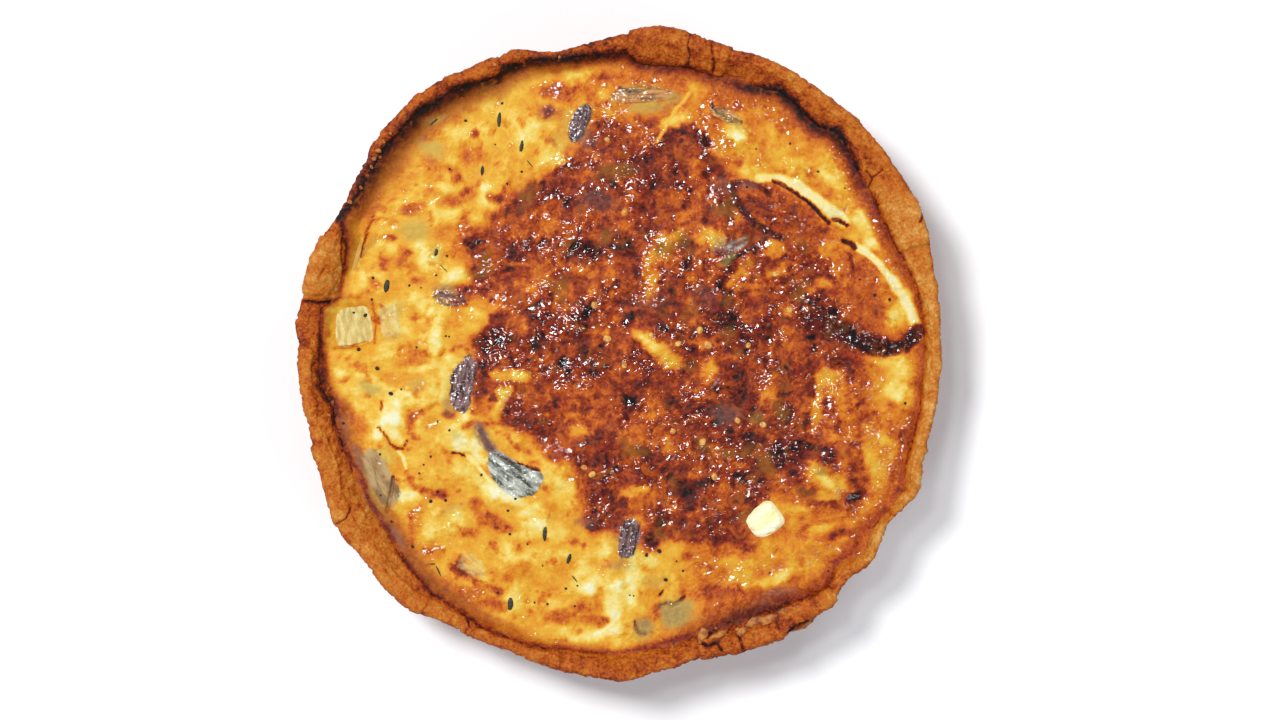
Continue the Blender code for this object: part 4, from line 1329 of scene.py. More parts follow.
@dataclass
class Topping:
    """A piece of vegetable or cheese that lies in the custard's top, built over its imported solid."""

    name: str
    turn: float
    slot: str
    finish: PieceFinish
    proud: float = 0.8
    cover: float = 0.9  # how far its own colour shows through the custard on it
    fade: float = 0.62  # the share of its reach where the custard starts to cover it
    wet: float = 0.7
    ragged: float = 0.8
    around: int = 220
    rings: int = 24  # inside its edge
    edge_rings: int = 10

    EDGE = 0.91  # the share of its reach where its edge starts
    SIDES = (0.2, 0.5, 1.0)  # shares of the way down at which its side has a ring

    def measure(self) -> None:
        """Read the piece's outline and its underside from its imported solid."""
        corners = np.array([corner.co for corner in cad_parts[self.name].data.vertices]) / MM
        self.floor = corners[:, 2].min()
        foot = corners[corners[:, 2] < self.floor + 0.05][:, :2]
        foot = np.unique(np.round(foot, 2), axis=0)
        self.middle = foot.mean(axis=0)
        outline = foot - self.middle
        self.reach = Turned.from_corners(outline[np.argsort(np.arctan2(outline[:, 1], outline[:, 0]))])

    def inside(self, x: Array, y: Array) -> Array:
        """How far out each place is, from 0 in the piece's middle to 1 at its edge and more beyond."""
        away_x, away_y = x - self.middle[0], y - self.middle[1]
        return np.hypot(away_x, away_y) / self.reach.at(np.degrees(np.arctan2(away_y, away_x)))

    def build(self, relief: Relief) -> bpy.types.Object:
        """Make the piece's mesh.

        Args:
            relief: the custard's level.

        Returns:
            The piece.
        """
        bearing = np.arange(self.around) * 360 / self.around
        inner = np.linspace(0.03, self.EDGE - 0.01, self.rings)
        shares = np.concatenate((inner, np.linspace(self.EDGE + 0.01, 1.0, self.edge_rings)))
        radius = np.outer(shares, self.reach.at(bearing))
        x = (self.middle[0] + radius * np.cos(np.radians(bearing))).ravel()
        y = (self.middle[1] + radius * np.sin(np.radians(bearing))).ravel()
        field = Noise(sum(map(ord, self.name)))
        bake = Bake(x, y)
        share = self.inside(x, y)
        along, across = self.local(x, y)
        fibres = np.column_stack((along * 0.3, across, np.zeros(len(x))))
        height = relief.at(x, y) + RISE_SCALE * bake.values[Channel.RISE] + self.profile(share)
        height += self.ragged * (0.35 * field.rough(bake.points, 4, 3) + 0.15 * field.rough(fibres, 1.6, 2))
        top = np.stack((x, y, height), axis=1).reshape(len(shares), self.around, 3)
        sides = [top[-1] * (1, 1, 0) + (0, 0, 1) * blend(top[-1], self.floor, part) for part in self.SIDES]
        rings = np.concatenate((top, np.stack(sides)))
        ends = np.array([[*self.middle, top[0, :, 2].mean()], [*self.middle, self.floor]])
        points = np.concatenate((rings.reshape(-1, 3), ends))
        faces = ring_faces(len(rings), self.around)
        return self.dress(add_piece(self.name + "_baked", points, faces, self.kept(points, field), self.slot))

    def dress(self, piece: bpy.types.Object) -> bpy.types.Object:
        """Let the piece stand for its solid, in its finish."""
        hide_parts(self.name)
        piece.data.materials.append(self.finish.make())
        return piece

    def profile(self, share: Array) -> Array:
        """The piece's height over the custard, from its middle outwards."""
        shoulder, steep = 0.95, 8
        over = np.maximum(share - shoulder, 0)
        return self.proud * (1 - np.minimum(share / shoulder, 1) ** 4) - steep * over

    def local(self, x: Array, y: Array) -> tuple[Array, Array]:
        """Each place along and across the piece, in mm."""
        turn = math.radians(self.turn)
        x, y = x - self.middle[0], y - self.middle[1]
        return x * math.cos(turn) + y * math.sin(turn), y * math.cos(turn) - x * math.sin(turn)

    def kept(self, points: Array, field: Noise) -> dict[str, Array]:
        """What the points keep for the material."""
        x, y = points[:, 0], points[:, 1]
        bake = Bake(x, y)
        kept = bake.kept()
        along, across = self.local(x, y)
        share = self.inside(x, y) + (1 - self.fade) * 0.4 * field.rough(bake.points, 5, 4, 0.6)
        kept["cover"] = self.cover * ease(1.04, self.fade, share)
        kept["cover"] *= 1 - ease(0.85, 0.93, kept["tone"])
        kept["wet"] = np.maximum(kept["wet"], self.wet * ease(1.0, 0.8, share))
        kept["grain"] = np.column_stack((along * 0.25, across, points[:, 2])) * MM
        return kept


def toppings() -> list[Topping]:
    """Every piece of vegetable and cheese that lies in the top."""
    lilac = PieceFinish("aubergine_lilac", (160, 124, 120), (66, 38, 38))
    smoky = PieceFinish("aubergine_smoky", (226, 226, 208), (82, 84, 70), 2.2)
    russet = PieceFinish("aubergine_russet", (190, 92, 48), (128, 52, 28), 2.4)
    golden = PieceFinish("aubergine_golden", (196, 98, 34), (166, 74, 22), 4.0)
    slab = PieceFinish("aubergine_tan", (206, 172, 118), (142, 106, 72), 2.4)
    leek = PieceFinish("leek_pale", (246, 226, 150), (216, 184, 104), 1.6)
    dull = PieceFinish("leek_browned", (236, 170, 104), (144, 98, 56), 1.6)
    cheese = PieceFinish("cheese_soft", (280, 278, 240), (272, 262, 190), 5.0)
    return [
        Topping("aubergine_slice_back", -25, "aubergine", russet, 0.8, 0.15, wet=0.5, ragged=1.5),
        Topping("aubergine_slice_right", -60, "aubergine", golden, 0.7, 0.4, 0.3, wet=0.3),
        Topping("aubergine_strip_left", 78, "aubergine", lilac, 0.7, fade=0.66),
        Topping("aubergine_curl_front_left", -34, "aubergine", smoky, 1.0, 1.1, 0.8, wet=0.9, ragged=1.4),
        Topping("aubergine_strip_front", 80, "aubergine", lilac, 0.6, 0.85, 0.66),
        Topping("aubergine_strip_back", 68, "aubergine", lilac, 0.6, 0.85, 0.66),
        Topping("aubergine_strip_upper_left", -8, "aubergine", lilac, 0.3, 0.55),
        Topping("aubergine_slab_left", 117, "aubergine", slab, 0.6, 0.65, wet=0.4),
        Topping("aubergine_sliver_middle", 24, "aubergine", smoky, 0.6, 0.5, 0.45, wet=0.3),
        Topping("leek_square_left", 99, "leek", leek, 0.9, 1.0, 0.85, wet=0.3, ragged=0.9),
        Topping("leek_square_inner", 96, "leek", leek, 0.4, 0.55, 0.7, wet=0.3, ragged=0.5),
        Topping("leek_strip_upper_left", 70, "leek", dull, 0.3, 0.45, wet=0.2),
        Topping("leek_strip_back", 3, "leek", dull, 0.7, 0.8),
        Topping("leek_strip_back_right", -24, "leek", dull, 0.7, 0.8),
        Topping("leek_petal_front_left", -38, "leek", leek, 0.5, 0.5, 0.5, wet=0.1),
        Topping("cheese_cube", 38, "cheese", cheese, 1.8, 1.4, 0.93, wet=0.3, ragged=1.2),
    ]


# ---------------------------------------------------------------- custard


@dataclass
class Custard:
    """The filling, from the shell's floor to its browned top."""

    cells: int = 300
    spill: float = 0.8  # how far its top runs on under the shell's baked edge
    edge_drop: float = 1.6
    socket: float = 1.6  # how far it dips under a piece
    film: float = 0.5  # how thick it lies on the shell's slope
    foot_inset: float = 2.0  # how far in its lowest ring is
    wall_levels: tuple[float, ...] = (FILL_LEVEL - 2.5, 22.0, 14.0, 6.5, BASE_THICKNESS + SHELL_GAP)

    def grid(self) -> tuple[Array, Array]:
        """The bearing and the share of the radius of each point of the top, on a square grid made round."""
        marks = np.linspace(-1, 1, self.cells + 1)
        a, b = (part.ravel() for part in np.meshgrid(marks, marks, indexing="ij"))
        wide = np.abs(a) > np.abs(b)
        radius = np.where(wide, a, b)
        safe = np.where(radius == 0, 1.0, radius)
        turn = np.where(wide, 0.25 * np.pi * b / safe, 0.5 * np.pi - 0.25 * np.pi * a / safe)
        x, y = radius * np.cos(turn), radius * np.sin(turn)
        return np.degrees(np.arctan2(y, x)) % 360, np.hypot(x, y)

    def build(self, shell: Shell, relief: Relief, pieces: Sequence[Topping]) -> bpy.types.Object:
        """Make the custard's mesh.

        Args:
            shell: the pastry shell's outline.
            relief: the custard's level.
            pieces: what lies in its top.

        Returns:
            The custard.
        """
        bearing, share = self.grid()
        inner = shell.inner.at(bearing)
        line = np.minimum(line_radius(bearing), shell.shoulder(bearing))
        reach = np.maximum(inner + 0.4, line) + self.spill
        radius = share * blend(reach.mean(), reach, share**2)
        x, y = radius * np.cos(np.radians(bearing)), radius * np.sin(np.radians(bearing))
        bake = Bake(x, y)
        level = relief.at(x, y)
        slope = shell.slope(bearing, radius) + self.film
        climb = blend(level, np.maximum(level, slope), ease(-3.0, 0.0, radius - inner))
        height = climb + RISE_SCALE * bake.values[Channel.RISE]
        height -= self.edge_drop * ease(1.0, 0.0, reach - radius)
        for piece in pieces:
            height -= self.socket * ease(0.88, 0.6, piece.inside(x, y))
        points, faces = self.close(shell, bearing, np.column_stack((x, y, height)))
        hidden = np.full(len(points) - len(x), HIDDEN_TONE)
        kept = {key: np.concatenate((values, hidden)) for key, values in bake.kept().items()}
        return self.dress(add_piece("custard_baked", points, faces, kept, "custard"))

    def close(self, shell: Shell, bearing: Array, top: Array) -> tuple[Array, Faces]:
        """Close the custard under its top, down the wall and across the floor.

        Args:
            shell: the pastry shell's outline.
            bearing: the bearing of each point of the top.
            top: those points.

        Returns:
            All the points, those of the top first, and the faces.
        """
        size = self.cells + 1
        grid = np.arange(size * size).reshape(size, size)
        corners = (grid[:-1, :-1], grid[1:, :-1], grid[1:, 1:], grid[:-1, 1:])
        faces = np.column_stack([corner.ravel() for corner in corners]).tolist()
        upper = np.concatenate((grid[:-1, 0], grid[-1, :-1], grid[:0:-1, -1], grid[0, :0:-1]))
        around = bearing[upper]
        turn = np.radians(around)
        points, count = [top], len(top)
        for level in self.wall_levels:
            inset = self.foot_inset if level == self.wall_levels[-1] else 0.0
            wall = shell.wall(around, level) - SHELL_GAP - inset
            here = count + np.arange(len(turn))
            ring = (wall * np.cos(turn), wall * np.sin(turn), np.full(len(turn), level))
            points.append(np.column_stack(ring))
            faces += np.column_stack((here, np.roll(here, -1), np.roll(upper, -1), upper)).tolist()
            upper, count = here, count + len(turn)
        points.append(np.array([[0.0, 0.0, self.wall_levels[-1]]]))
        faces += np.column_stack((np.roll(upper, -1), upper, np.full(len(turn), count))).tolist()
        return np.concatenate(points), faces

    def dress(self, piece: bpy.types.Object) -> bpy.types.Object:
        """Let the piece stand for its solid, in its finish."""
        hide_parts("custard")
        piece.data.materials.append(CustardFinish().make())
        return piece


# ---------------------------------------------------------------- crust


@dataclass(frozen=True)
class Lap:
    """A layer of pastry folded over the rim, with an edge that shows."""

    start: float  # bearing
    end: float
    inner: float  # how far in from the rim's outer edge it reaches, in mm
    outer: float
    rise: float

    SOFT = 0.4  # how wide its edge is, in mm
    SOFT_END = 0.35  # how wide its ends are, in degrees

    def lift(self, section: "Section", wander: Array) -> Array:
        """How far it lifts each point.

        Args:
            section: the points.
            wander: how far its edge strays at each, in mm.

        Returns:
            The heights, in mm.
        """
        turned = (section.bearing + 0.6 * wander - self.start) % 360
        length = (self.end - self.start) % 360
        along = ease(0.0, self.SOFT_END, turned) * ease(length + self.SOFT_END, length, turned)
        inset = section.inset + wander
        across = ease(self.inner + self.SOFT, self.inner - self.SOFT, inset)
        across = across * ease(self.outer - self.SOFT, self.outer + self.SOFT, inset)
        return self.rise * along * np.where(section.top, across, across * ease(8.0, 2.0, 3 - section.inset))


LAPS = (
    Lap(69.5, 88, 13.5, -2.0, 1.3),
    Lap(20, 29.5, 17.5, 1.0, 1.1),
    Lap(158, 168.5, 12.0, -2.0, 0.9),
    Lap(29.5, 68.5, 8.0, 4.6, -0.5),
    Lap(285, 300, 6.0, -2.0, 0.9),
    Lap(303, 312, 9.0, -2.0, 0.8),
    Lap(196, 232, 6.5, -2.0, 0.7),
    Lap(112, 122, 5.5, -2.0, 0.9),
    Lap(127, 137, 4.6, -2.0, 0.8),
    Lap(178, 190, 4.5, -2.0, 0.6),
    Lap(336, 343, 3.5, -2.0, 0.6),
    Lap(240, 262, 4.0, -2.0, 0.6),
)
# Cracks in the rim: carved, and painted dark as the shade in them.
SHADED_CRACKS = (
    Trail(0.8, 0.84, ((26, 119), (25.4, 115), (26.4, 112), (25.6, 109))),
    Trail(1.0, 0.80, ((33.4, 118), (34.4, 113), (35.4, 109), (34.8, 105))),
    Trail(0.8, 0.84, ((92.6, 62.6), (94, 66), (97.4, 69))),
    Trail(0.7, 0.8, ((94, 66), (91.6, 68.6))),
    Trail(1.3, 0.9, ((111.4, 49.6), (112.4, 52.6), (112.6, 56))),
    Trail(1.3, 0.95, ((-106, 20.4), (-111, 19.6), (-119, 20.6))),
    Trail(0.9, 0.8, ((-102.4, 45), (-103.6, 38), (-102.6, 30), (-104, 24))),
    Trail(0.7, 0.8, ((-58, -104), (-55.4, -100.4), (-56, -98))),
    Trail(0.8, 0.8, ((-104.6, -62), (-101, -60), (-99.4, -56.4))),
    Trail(1.4, 0.95, ((30, -106.6), (33, -107.6), (36.4, -106.4), (38, -109))),
    Trail(1.2, 0.9, ((46, -108.6), (44.6, -104), (47, -101))),
    Trail(1.4, 0.92, ((62, -103.6), (66, -99.6), (72, -97.6))),
    Trail(0.8, 0.88, ((-18, 116.6), (-17.4, 113.4), (-19, 111.4))),
    Trail(1.0, 0.9, ((-104, 55), (-101.6, 52.6), (-104.6, 49.6))),
)
TINT = Turned.from_marks({
    0: .20, 14: .25, 24: .29, 36: .40, 48: .42, 60: .40, 70: .54, 80: .58, 90: .58, 100: .56, 110: .58,
    118: .54, 126: .52, 136: .56, 146: .58, 153: .58, 160: .34, 166: .32, 172: .5, 178: .5, 188: .46,
    200: .40, 215: .38, 230: .42, 245: .46, 260: .50, 275: .46, 288: .54, 300: .60, 312: .44, 322: .28,
    334: .23, 346: .20,
})


SWELLS, SPECKLES = Grain(0, 9), Grain(40, 3.2, 3, 0.65)
PLATE_WARPS = (Grain(7, 4), Grain(107, 4))
LAYERS, LAP_EDGES = Grain(5, 12), Grain(29, 7)
WIDE_TINTS, FINE_TINTS = Grain(3, 10), Grain(9, 3, 4, 0.6)


@dataclass
class Section:
    """The points of the crust before its crumb and folds, one for each bearing of each ring."""

    points: Array
    bearing: Array
    inset: Array  # how far each is in from the rim's outer edge, in mm
    top: Array  # whether each is on the inside or top of the rim
    field: Noise

    def grain(self, grain: Grain) -> Array:
        """A layered field at the points."""
        return grain.at(self.field, self.points)

    def crack(self, crack: Trail, width: float) -> Array:
        """From 1 in a crack to 0 at this share of its width from it."""
        away = crack.away(self.points[:, 0], self.points[:, 1])
        return self.top * ease(width * crack.width, 0.1, away)


@dataclass
class Crust:
    """The pastry shell: inside wall, folded rim and outside wall, in one closed body."""

    around: int = 1300
    crumb: float = 0.5  # how far the crumb stands out, in mm
    crest_inset: float = 2.6
    lip: float = 2.4  # how far the trimmed outer edge lies under the crest
    layer: float = 2.1  # how wide the pastry's layers show
    plate: float = 4.2  # how wide its cracked plates are
    plate_radius: float = 118.0
    plate_stretch: float = 2.2  # how much longer they are round the rim
    smoothings: int = 3

    def profile(self, shell: Shell, bearing: Array) -> Array:
        """The shell's section at each bearing.

        Args:
            shell: the outline read from the solid.
            bearing: where.

        Returns:
            Points as (ring, bearing, radius and height).
        """
        outer, inner, crest = shell.outer.at(bearing), shell.inner.at(bearing), shell.crest.at(bearing)
        inset = np.minimum(self.crest_inset, 0.4 * (outer - inner))
        slope, rise, lip = outer - inset - inner, crest - FILL_LEVEL, self.lip
        even = np.ones_like(outer)
        marks = (
            ((WALL_FOOT - 2) * even, BASE_THICKNESS * even, 1),
            (WALL_FOOT * even, (BASE_THICKNESS + 2) * even, 1),
            (blend(WALL_FOOT, inner, 0.5), 0.5 * (BASE_THICKNESS + FILL_LEVEL) * even, 3),
            (inner, FILL_LEVEL * even, 9),
            (inner + 0.45 * slope, FILL_LEVEL + 0.62 * rise, 8),
            (inner + 0.85 * slope, crest - 0.06 * rise, 4),
            (outer - 0.55 * inset, crest, 3),
            (outer - 0.1 * inset, crest - 0.45 * lip, 3),
            (outer, crest - lip, 4),
            (outer - 1.5, crest - lip - 2.2, 9),
            (outer - 0.45 * (outer - BASE_RADIUS), 0.56 * crest, 9),
            ((BASE_RADIUS + 0.6) * even, 2.5 * even, 3),
            ((BASE_RADIUS - 2.5) * even, 0.0 * even, 0),
        )
        rings = []
        for (radius, height, steps), (next_radius, next_height, _) in zip(marks, marks[1:]):
            for step in range(steps):
                share = step / steps
                rings.append((blend(radius, next_radius, share), blend(height, next_height, share)))
        rings.append(marks[-1][:2])
        section = np.array([np.column_stack(ring) for ring in rings])
        for _ in range(self.smoothings):
            section[6:-4] = 0.25 * section[5:-5] + 0.5 * section[6:-4] + 0.25 * section[7:-3]
        return section

    def build(self, shell: Shell) -> bpy.types.Object:
        """Make the shell's mesh.

        Args:
            shell: the outline read from the solid.

        Returns:
            The crust.
        """
        bearing = np.arange(self.around) * 360 / self.around
        radius, height = np.moveaxis(self.profile(shell, bearing), 2, 0)
        turn = np.radians(bearing)
        rings = np.stack((radius * np.cos(turn), radius * np.sin(turn), height), axis=2)
        inset = shell.outer.at(bearing) - radius
        top = np.arange(len(radius))[:, None] <= height.argmax(axis=0) + 3
        around = np.broadcast_to(bearing, radius.shape).ravel()
        section = Section(rings.reshape(-1, 3), around, inset.ravel(), top.ravel(), Noise(23))
        shown = ease(-5.0, -1.0, radius - shell.inner.at(bearing))
        film = ease(2.0, 0.0, radius - line_radius(bearing))
        share = np.where(top, shown * (1 - 0.85 * film), ease(0.3, 3.0, height))
        lift = self.lift(section).reshape(radius.shape) * share
        rings = rings + outward(rings) * lift[..., None]
        rings[..., 2] = np.maximum(rings[..., 2], 0.0)
        ends = np.array([[0.0, 0.0, BASE_THICKNESS], [0.0, 0.0, 0.0]])
        points = np.concatenate((rings.reshape(-1, 3), ends))
        kept = self.colouring(section, lift.ravel())
        kept = {key: np.concatenate((values, (0.4, 0.4))) for key, values in kept.items()}
        faces = ring_faces(len(rings), self.around)
        return self.dress(add_piece("crust_baked", points, faces, kept, "crust"))

    def dress(self, piece: bpy.types.Object) -> bpy.types.Object:
        """Let the piece stand for its solid, in its finish."""
        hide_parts("crust")
        piece.data.materials.append(CrustFinish().make())
        return piece

    def lift(self, section: Section) -> Array:
        """How far each point stands out from the plain section, in mm."""
        field, points, inset = section.field, section.points, section.inset
        flat = np.zeros(len(points))
        high = 0.6 * section.grain(SWELLS) + 0.4 * section.grain(SPECKLES)
        high += self.crumb * (field.ridges(points + 80, 2.2, 2) - 0.5)
        round_rim = np.radians(section.bearing) * self.plate_radius / self.plate_stretch
        warps = [1.2 * section.grain(warp) for warp in PLATE_WARPS]
        places = np.column_stack((round_rim, inset, flat)) + np.column_stack((*warps, flat))
        _, plate = field.cells(places, self.plate)
        high += 0.55 * (plate - 0.5)
        hole, number = field.cells(points + 13, 3.1)
        high -= 0.5 * ease(0.28, 0.08, hole) * (number > 0.55)
        layers = (inset + 1.4 * section.grain(LAYERS)) / self.layer
        high += np.where(section.top, 0.3 * (layers - np.floor(layers)), 0.0)
        wander = 1.3 * section.grain(LAP_EDGES)
        for lap in LAPS:
            high += lap.lift(section, wander)
        for crack in SHADED_CRACKS:
            high -= 0.8 * crack.width * section.crack(crack, 0.8)
        return high

    def colouring(self, section: Section, lift: Array) -> dict[str, Array]:
        """How baked each point is, with painted shade in its hollows, cracks, outer edge and outer wall and
        painted shadow along its inner line, and how much custard baked onto it.

        Args:
            section: the points.
            lift: how far each stands out.

        Returns:
            The values of each, by name.
        """
        top, (x, y, height) = section.top, section.points.T
        bake = Bake(x, y)
        wide = section.grain(WIDE_TINTS)
        tint = TINT.at(section.bearing) + 0.16 * wide + 0.17 * section.grain(FINE_TINTS)
        tint = np.where(top, tint, blend(0.44 + 0.12 * wide, tint, ease(20.0, 34.0, height)))
        # Paler where the crust stands out and darker in its hollows: painted highlight and shade.
        tint -= 0.10 * np.clip(lift, -1, 1)
        # Darker at the trimmed outer edge and down the outer wall: painted shade.
        tint += np.where(top, 0.10 * ease(1.4, 0.2, section.inset), 0.10)
        # The dark line by the custard: burnt, and partly painted shadow of the rim.
        line = bake.line * top
        # cracks are painted dark as the shade in them
        for crack in SHADED_CRACKS:
            share = section.crack(crack, 0.75)
            line = np.maximum(line, 0.9 * share)
            bake.values[Channel.TONE] = blend(bake.values[Channel.TONE], crack.value, share)
        kept = bake.kept()
        kept["bake"] = blend(tint, kept["tone"], line)
        kept["film"] = np.where(top, ease(-0.6, 0.6, bake.gap), 0.0)
        return kept


# ---------------------------------------------------------------- small things


def lump(field: Noise, size: tuple[float, float, float], ragged: float, around: int = 10,
         rings: int = 7) -> tuple[Array, Faces]:
    """A small closed lump about the origin.

    Args:
        field: the noise that shapes it.
        size: its length, width and height, in mm.
        ragged: how uneven it is.
        around: how many points each of its rings has.
        rings: how many rings.

    Returns:
        Its points and faces.
    """
    down = np.linspace(0, np.pi, rings + 2)[1:-1]
    turn = np.arange(around) * 2 * np.pi / around
    points = np.stack((np.outer(np.sin(down), np.cos(turn)), np.outer(np.sin(down), np.sin(turn)),
                       np.outer(np.cos(down), np.ones(around))), axis=2).reshape(-1, 3)
    points = np.concatenate((points, [[0, 0, 1], [0, 0, -1]]))
    points = points * (1 + ragged * field.rough(points + field.spots[0] * 50, 0.9, 2))[:, None]
    return points * np.array(size) / 2, ring_faces(rings, around)


def turned_points(points: Array, turn: float, tilt: float) -> Array:
    """Tilt points about their length and turn them to a bearing, in degrees."""
    tilted = np.array(Matrix.Rotation(math.radians(tilt), 3, "X"))
    turned = np.array(Matrix.Rotation(math.radians(turn), 3, "Z"))
    return points @ tilted.T @ turned.T


@dataclass
class Scatter:
    """One kind of small thing strewn in the top, joined into one piece."""

    name: str
    slot: str
    finish: ScatterFinish
    places: tuple[Row, ...]  # x, y, length, width, turn, and height where it isn't on the surface
    height: float  # as a share of the width
    sink: float  # how far the middle is over what it lies on, as a share of the height
    ragged: float = 0.2

    SEED = 500
    TILT = 12.0  # the most that one is tilted, in degrees
    TILT_STEP = 3.1

    def build(self, surface: "Surface") -> bpy.types.Object:
        """Make them all.

        Args:
            surface: what they lie on.

        Returns:
            The piece.
        """
        all_points: list[Array] = []
        all_faces: Faces = []
        count = 0
        for number, (x, y, length, width, turn, *level) in enumerate(self.places):
            high = self.height * width
            points, faces = lump(Noise(self.SEED + number), (length, width, high), self.ragged)
            points = turned_points(points, turn, self.TILT * math.sin(self.TILT_STEP * number))
            base = level[0] if level else surface.at(x, y)
            all_points.append(points + np.array((x, y, base + self.sink * high)))
            all_faces += [[corner + count for corner in face] for face in faces]
            count += len(points)
        return self.dress(add_piece(self.name, np.concatenate(all_points), all_faces, {}, self.slot))

    def dress(self, piece: bpy.types.Object) -> bpy.types.Object:
        """Give the piece its finish."""
        piece.data.materials.append(self.finish.make())
        return piece


class Surface:
    """The built top, as the small things find it."""

    START = 0.1  # where the measuring starts, in metres

    def __init__(self, pieces: Sequence[bpy.types.Object]) -> None:
        """Gather the pieces that they may lie on."""
        self.trees = []
        for piece in pieces:
            corners = [corner.co for corner in piece.data.vertices]
            faces = [face.vertices[:] for face in piece.data.polygons]
            self.trees.append(BVHTree.FromPolygons(corners, faces))

    def at(self, x: float, y: float) -> float:
        """The highest level at a place, in mm."""
        start, down = Vector((x * MM, y * MM, self.START)), Vector((0, 0, -1))
        hits = [tree.ray_cast(start, down)[0] for tree in self.trees]
        return max((hit.z / MM for hit in hits if hit), default=FILL_LEVEL)


def dots(width: float, step: float, marks: Sequence[tuple[float, float, float]]) -> tuple[Row, ...]:
    """Places for roundish things.

    Args:
        width: the width of each as a share of its length.
        step: how far each is turned from the last, in degrees.
        marks: the place and the length of each.

    Returns:
        A row for each, as a scatter takes it.
    """
    return tuple((x, y, size, width * size, step * number) for number, (x, y, size) in enumerate(marks))


FLAKES = (
    (89, -75.5, 11, 5, 50, 17), (94, -70.5, 8, 4, 35, 19), (98, -65, 6, 3, 65, 24), (86, -79, 6, 4, 30, 22),
    (66, -99, 13, 6, 20, 31), (58, -102, 9, 6, -10, 27), (33, -108.6, 15, 6, 12, 29),
    (42, -107, 10, 6, 25, 31), (46, -103, 6, 4, 60, 33), (51, -99, 7, 4, 10, 33), (27, -110, 8, 5, 5, 30),
    (37, -104, 7, 4, 30, 33), (31, -104, 6, 4, 70, 33), (56, -98, 7, 4, 15, 34), (72, -94.6, 8, 4, 30, 33),
    (62, -95, 6, 3.4, 20, 34),
)
CRUMBS = dots(0.8, 41.0, (
    (-89, 76, 2.4), (-90.6, 73, 2.0), (-87, 79.4, 1.8), (-91.6, 70, 1.6), (-88.4, 73.6, 1.5),
    (-84.4, 82.4, 1.6), (-79, 88.6, 1.5), (-95.6, 62.4, 1.7), (-99.6, 57, 1.8), (-46, 107.6, 1.6),
    (-37, 110.6, 1.5), (-22, 110.8, 1.5), (48, -100.4, 2.2), (44, -101.6, 1.8), (53, -97.6, 2.0),
    (58, -96.4, 1.8), (62, -94.6, 1.9), (40, -103.4, 1.7), (36, -101.4, 1.6), (66, -93, 1.6),
    (30, -106.6, 1.8), (50, -103.4, 1.6), (73, -92, 1.5), (-108, -12, 1.8), (-106.6, -17.4, 1.9),
    (-107.6, -22, 1.5), (-101, -42, 1.5), (-92.6, -60.4, 1.5), (20, -108, 1.4), (96, 60.6, 1.5),
))
HERBS = (
    (-44.6, 88, 5.6, 1.5, 88), (-36.2, 78, 4.6, 1.4, 80), (-50.8, 69, 4.4, 1.3, 84),
    (-86.4, 26, 4.6, 2.2, 80), (-27.6, -66, 5.4, 1.6, 86), (-18.6, -75.4, 4.2, 1.4, 70),
    (-40.4, -92, 5.0, 2.2, 85), (-70, -77.4, 3.2, 0.5, 0), (-67.2, -80, 4.8, 0.6, -64),
    (-69, 87, 4.0, 0.8, 40), (-68, 38.5, 3.0, 1.4, 80), (-65, 32.4, 4.4, 0.4, -45),
    (-33.6, 72, 4.6, 0.4, -50), (-16.4, -83, 3.4, 0.5, -50), (65, 54.6, 2.4, 0.8, 85),
    (49.5, 57.8, 1.6, 1.0, 10),
)
PEPPER = dots(0.85, 37.0, (
    (-57, 87.5, 1.2), (-43.5, 94, 1.1), (-63, 69.5, 1.0), (-41.6, 64, 1.0), (-36.2, 68.5, 1.0),
    (-68, 30, 0.9), (-78, 26.2, 1.0), (-73.6, 25.4, 0.7), (-64, 37.2, 1.0), (-91.5, 29, 1.2),
    (-99, 16.2, 1.0), (-94.6, 15.2, 1.6), (-92, 21, 1.1), (-97, 2.4, 1.6), (-57.2, 25, 0.8),
    (-64.4, 7.4, 0.8), (-63.2, 7.2, 0.8), (-75.2, 3.2, 0.9), (-90, -4.6, 1.8), (-84.8, -14, 1.7),
    (-67.5, -50.5, 1.2), (-70, -54, 1.4), (-64.5, -53.7, 1.2), (-76.8, -71, 1.3), (-41.3, -57.5, 1.1),
    (-40.6, -66.2, 1.2), (-38.5, -53, 1.1), (-31.4, -91.7, 0.9), (-26.6, -92.3, 1.0), (-19.8, -86.5, 1.0),
    (-45, -88, 1.0), (-58.4, -36.8, 1.2), (-70, -37.4, 1.0), (-74.2, -43.6, 0.9), (-15.5, -85.4, 0.8),
    (-16.5, -93, 0.9), (-51.2, -44.2, 1.1), (-72.6, -40.4, 0.8), (-84.6, -61.6, 1.0), (-102.6, -25, 1.1),
    (-63, -27.6, 1.0), (-88.8, -36.6, 1.0), (-88.6, -51.8, 0.8), (15, -72.6, 1.8), (17.4, -83.2, 1.6),
    (23.8, -80, 1.0), (10.2, -74, 1.5), (63.6, 79, 0.9), (74, 68.6, 1.0), (89.4, 28.4, 0.9), (4, -89, 0.7),
    (5.4, -89.2, 0.7), (106.4, -17.6, 1.1), (118, -9.2, 0.6), (112.2, 7, 1.2), (95, 22.6, 1.3),
    (100.6, 21, 1.2), (47.6, 62.8, 1.0), (-67.6, -24.4, 0.9), (-42, -104, 0.8), (-28.4, -78, 0.7),
    (-34, -70, 0.8), (-81, -12.4, 0.8), (-46, 78.6, 0.7), (21.4, -76.4, 0.8), (56, -80.6, 0.8),
    (77.8, -80, 0.8), (84, 62.4, 0.7), (51, 77, 0.7),
))
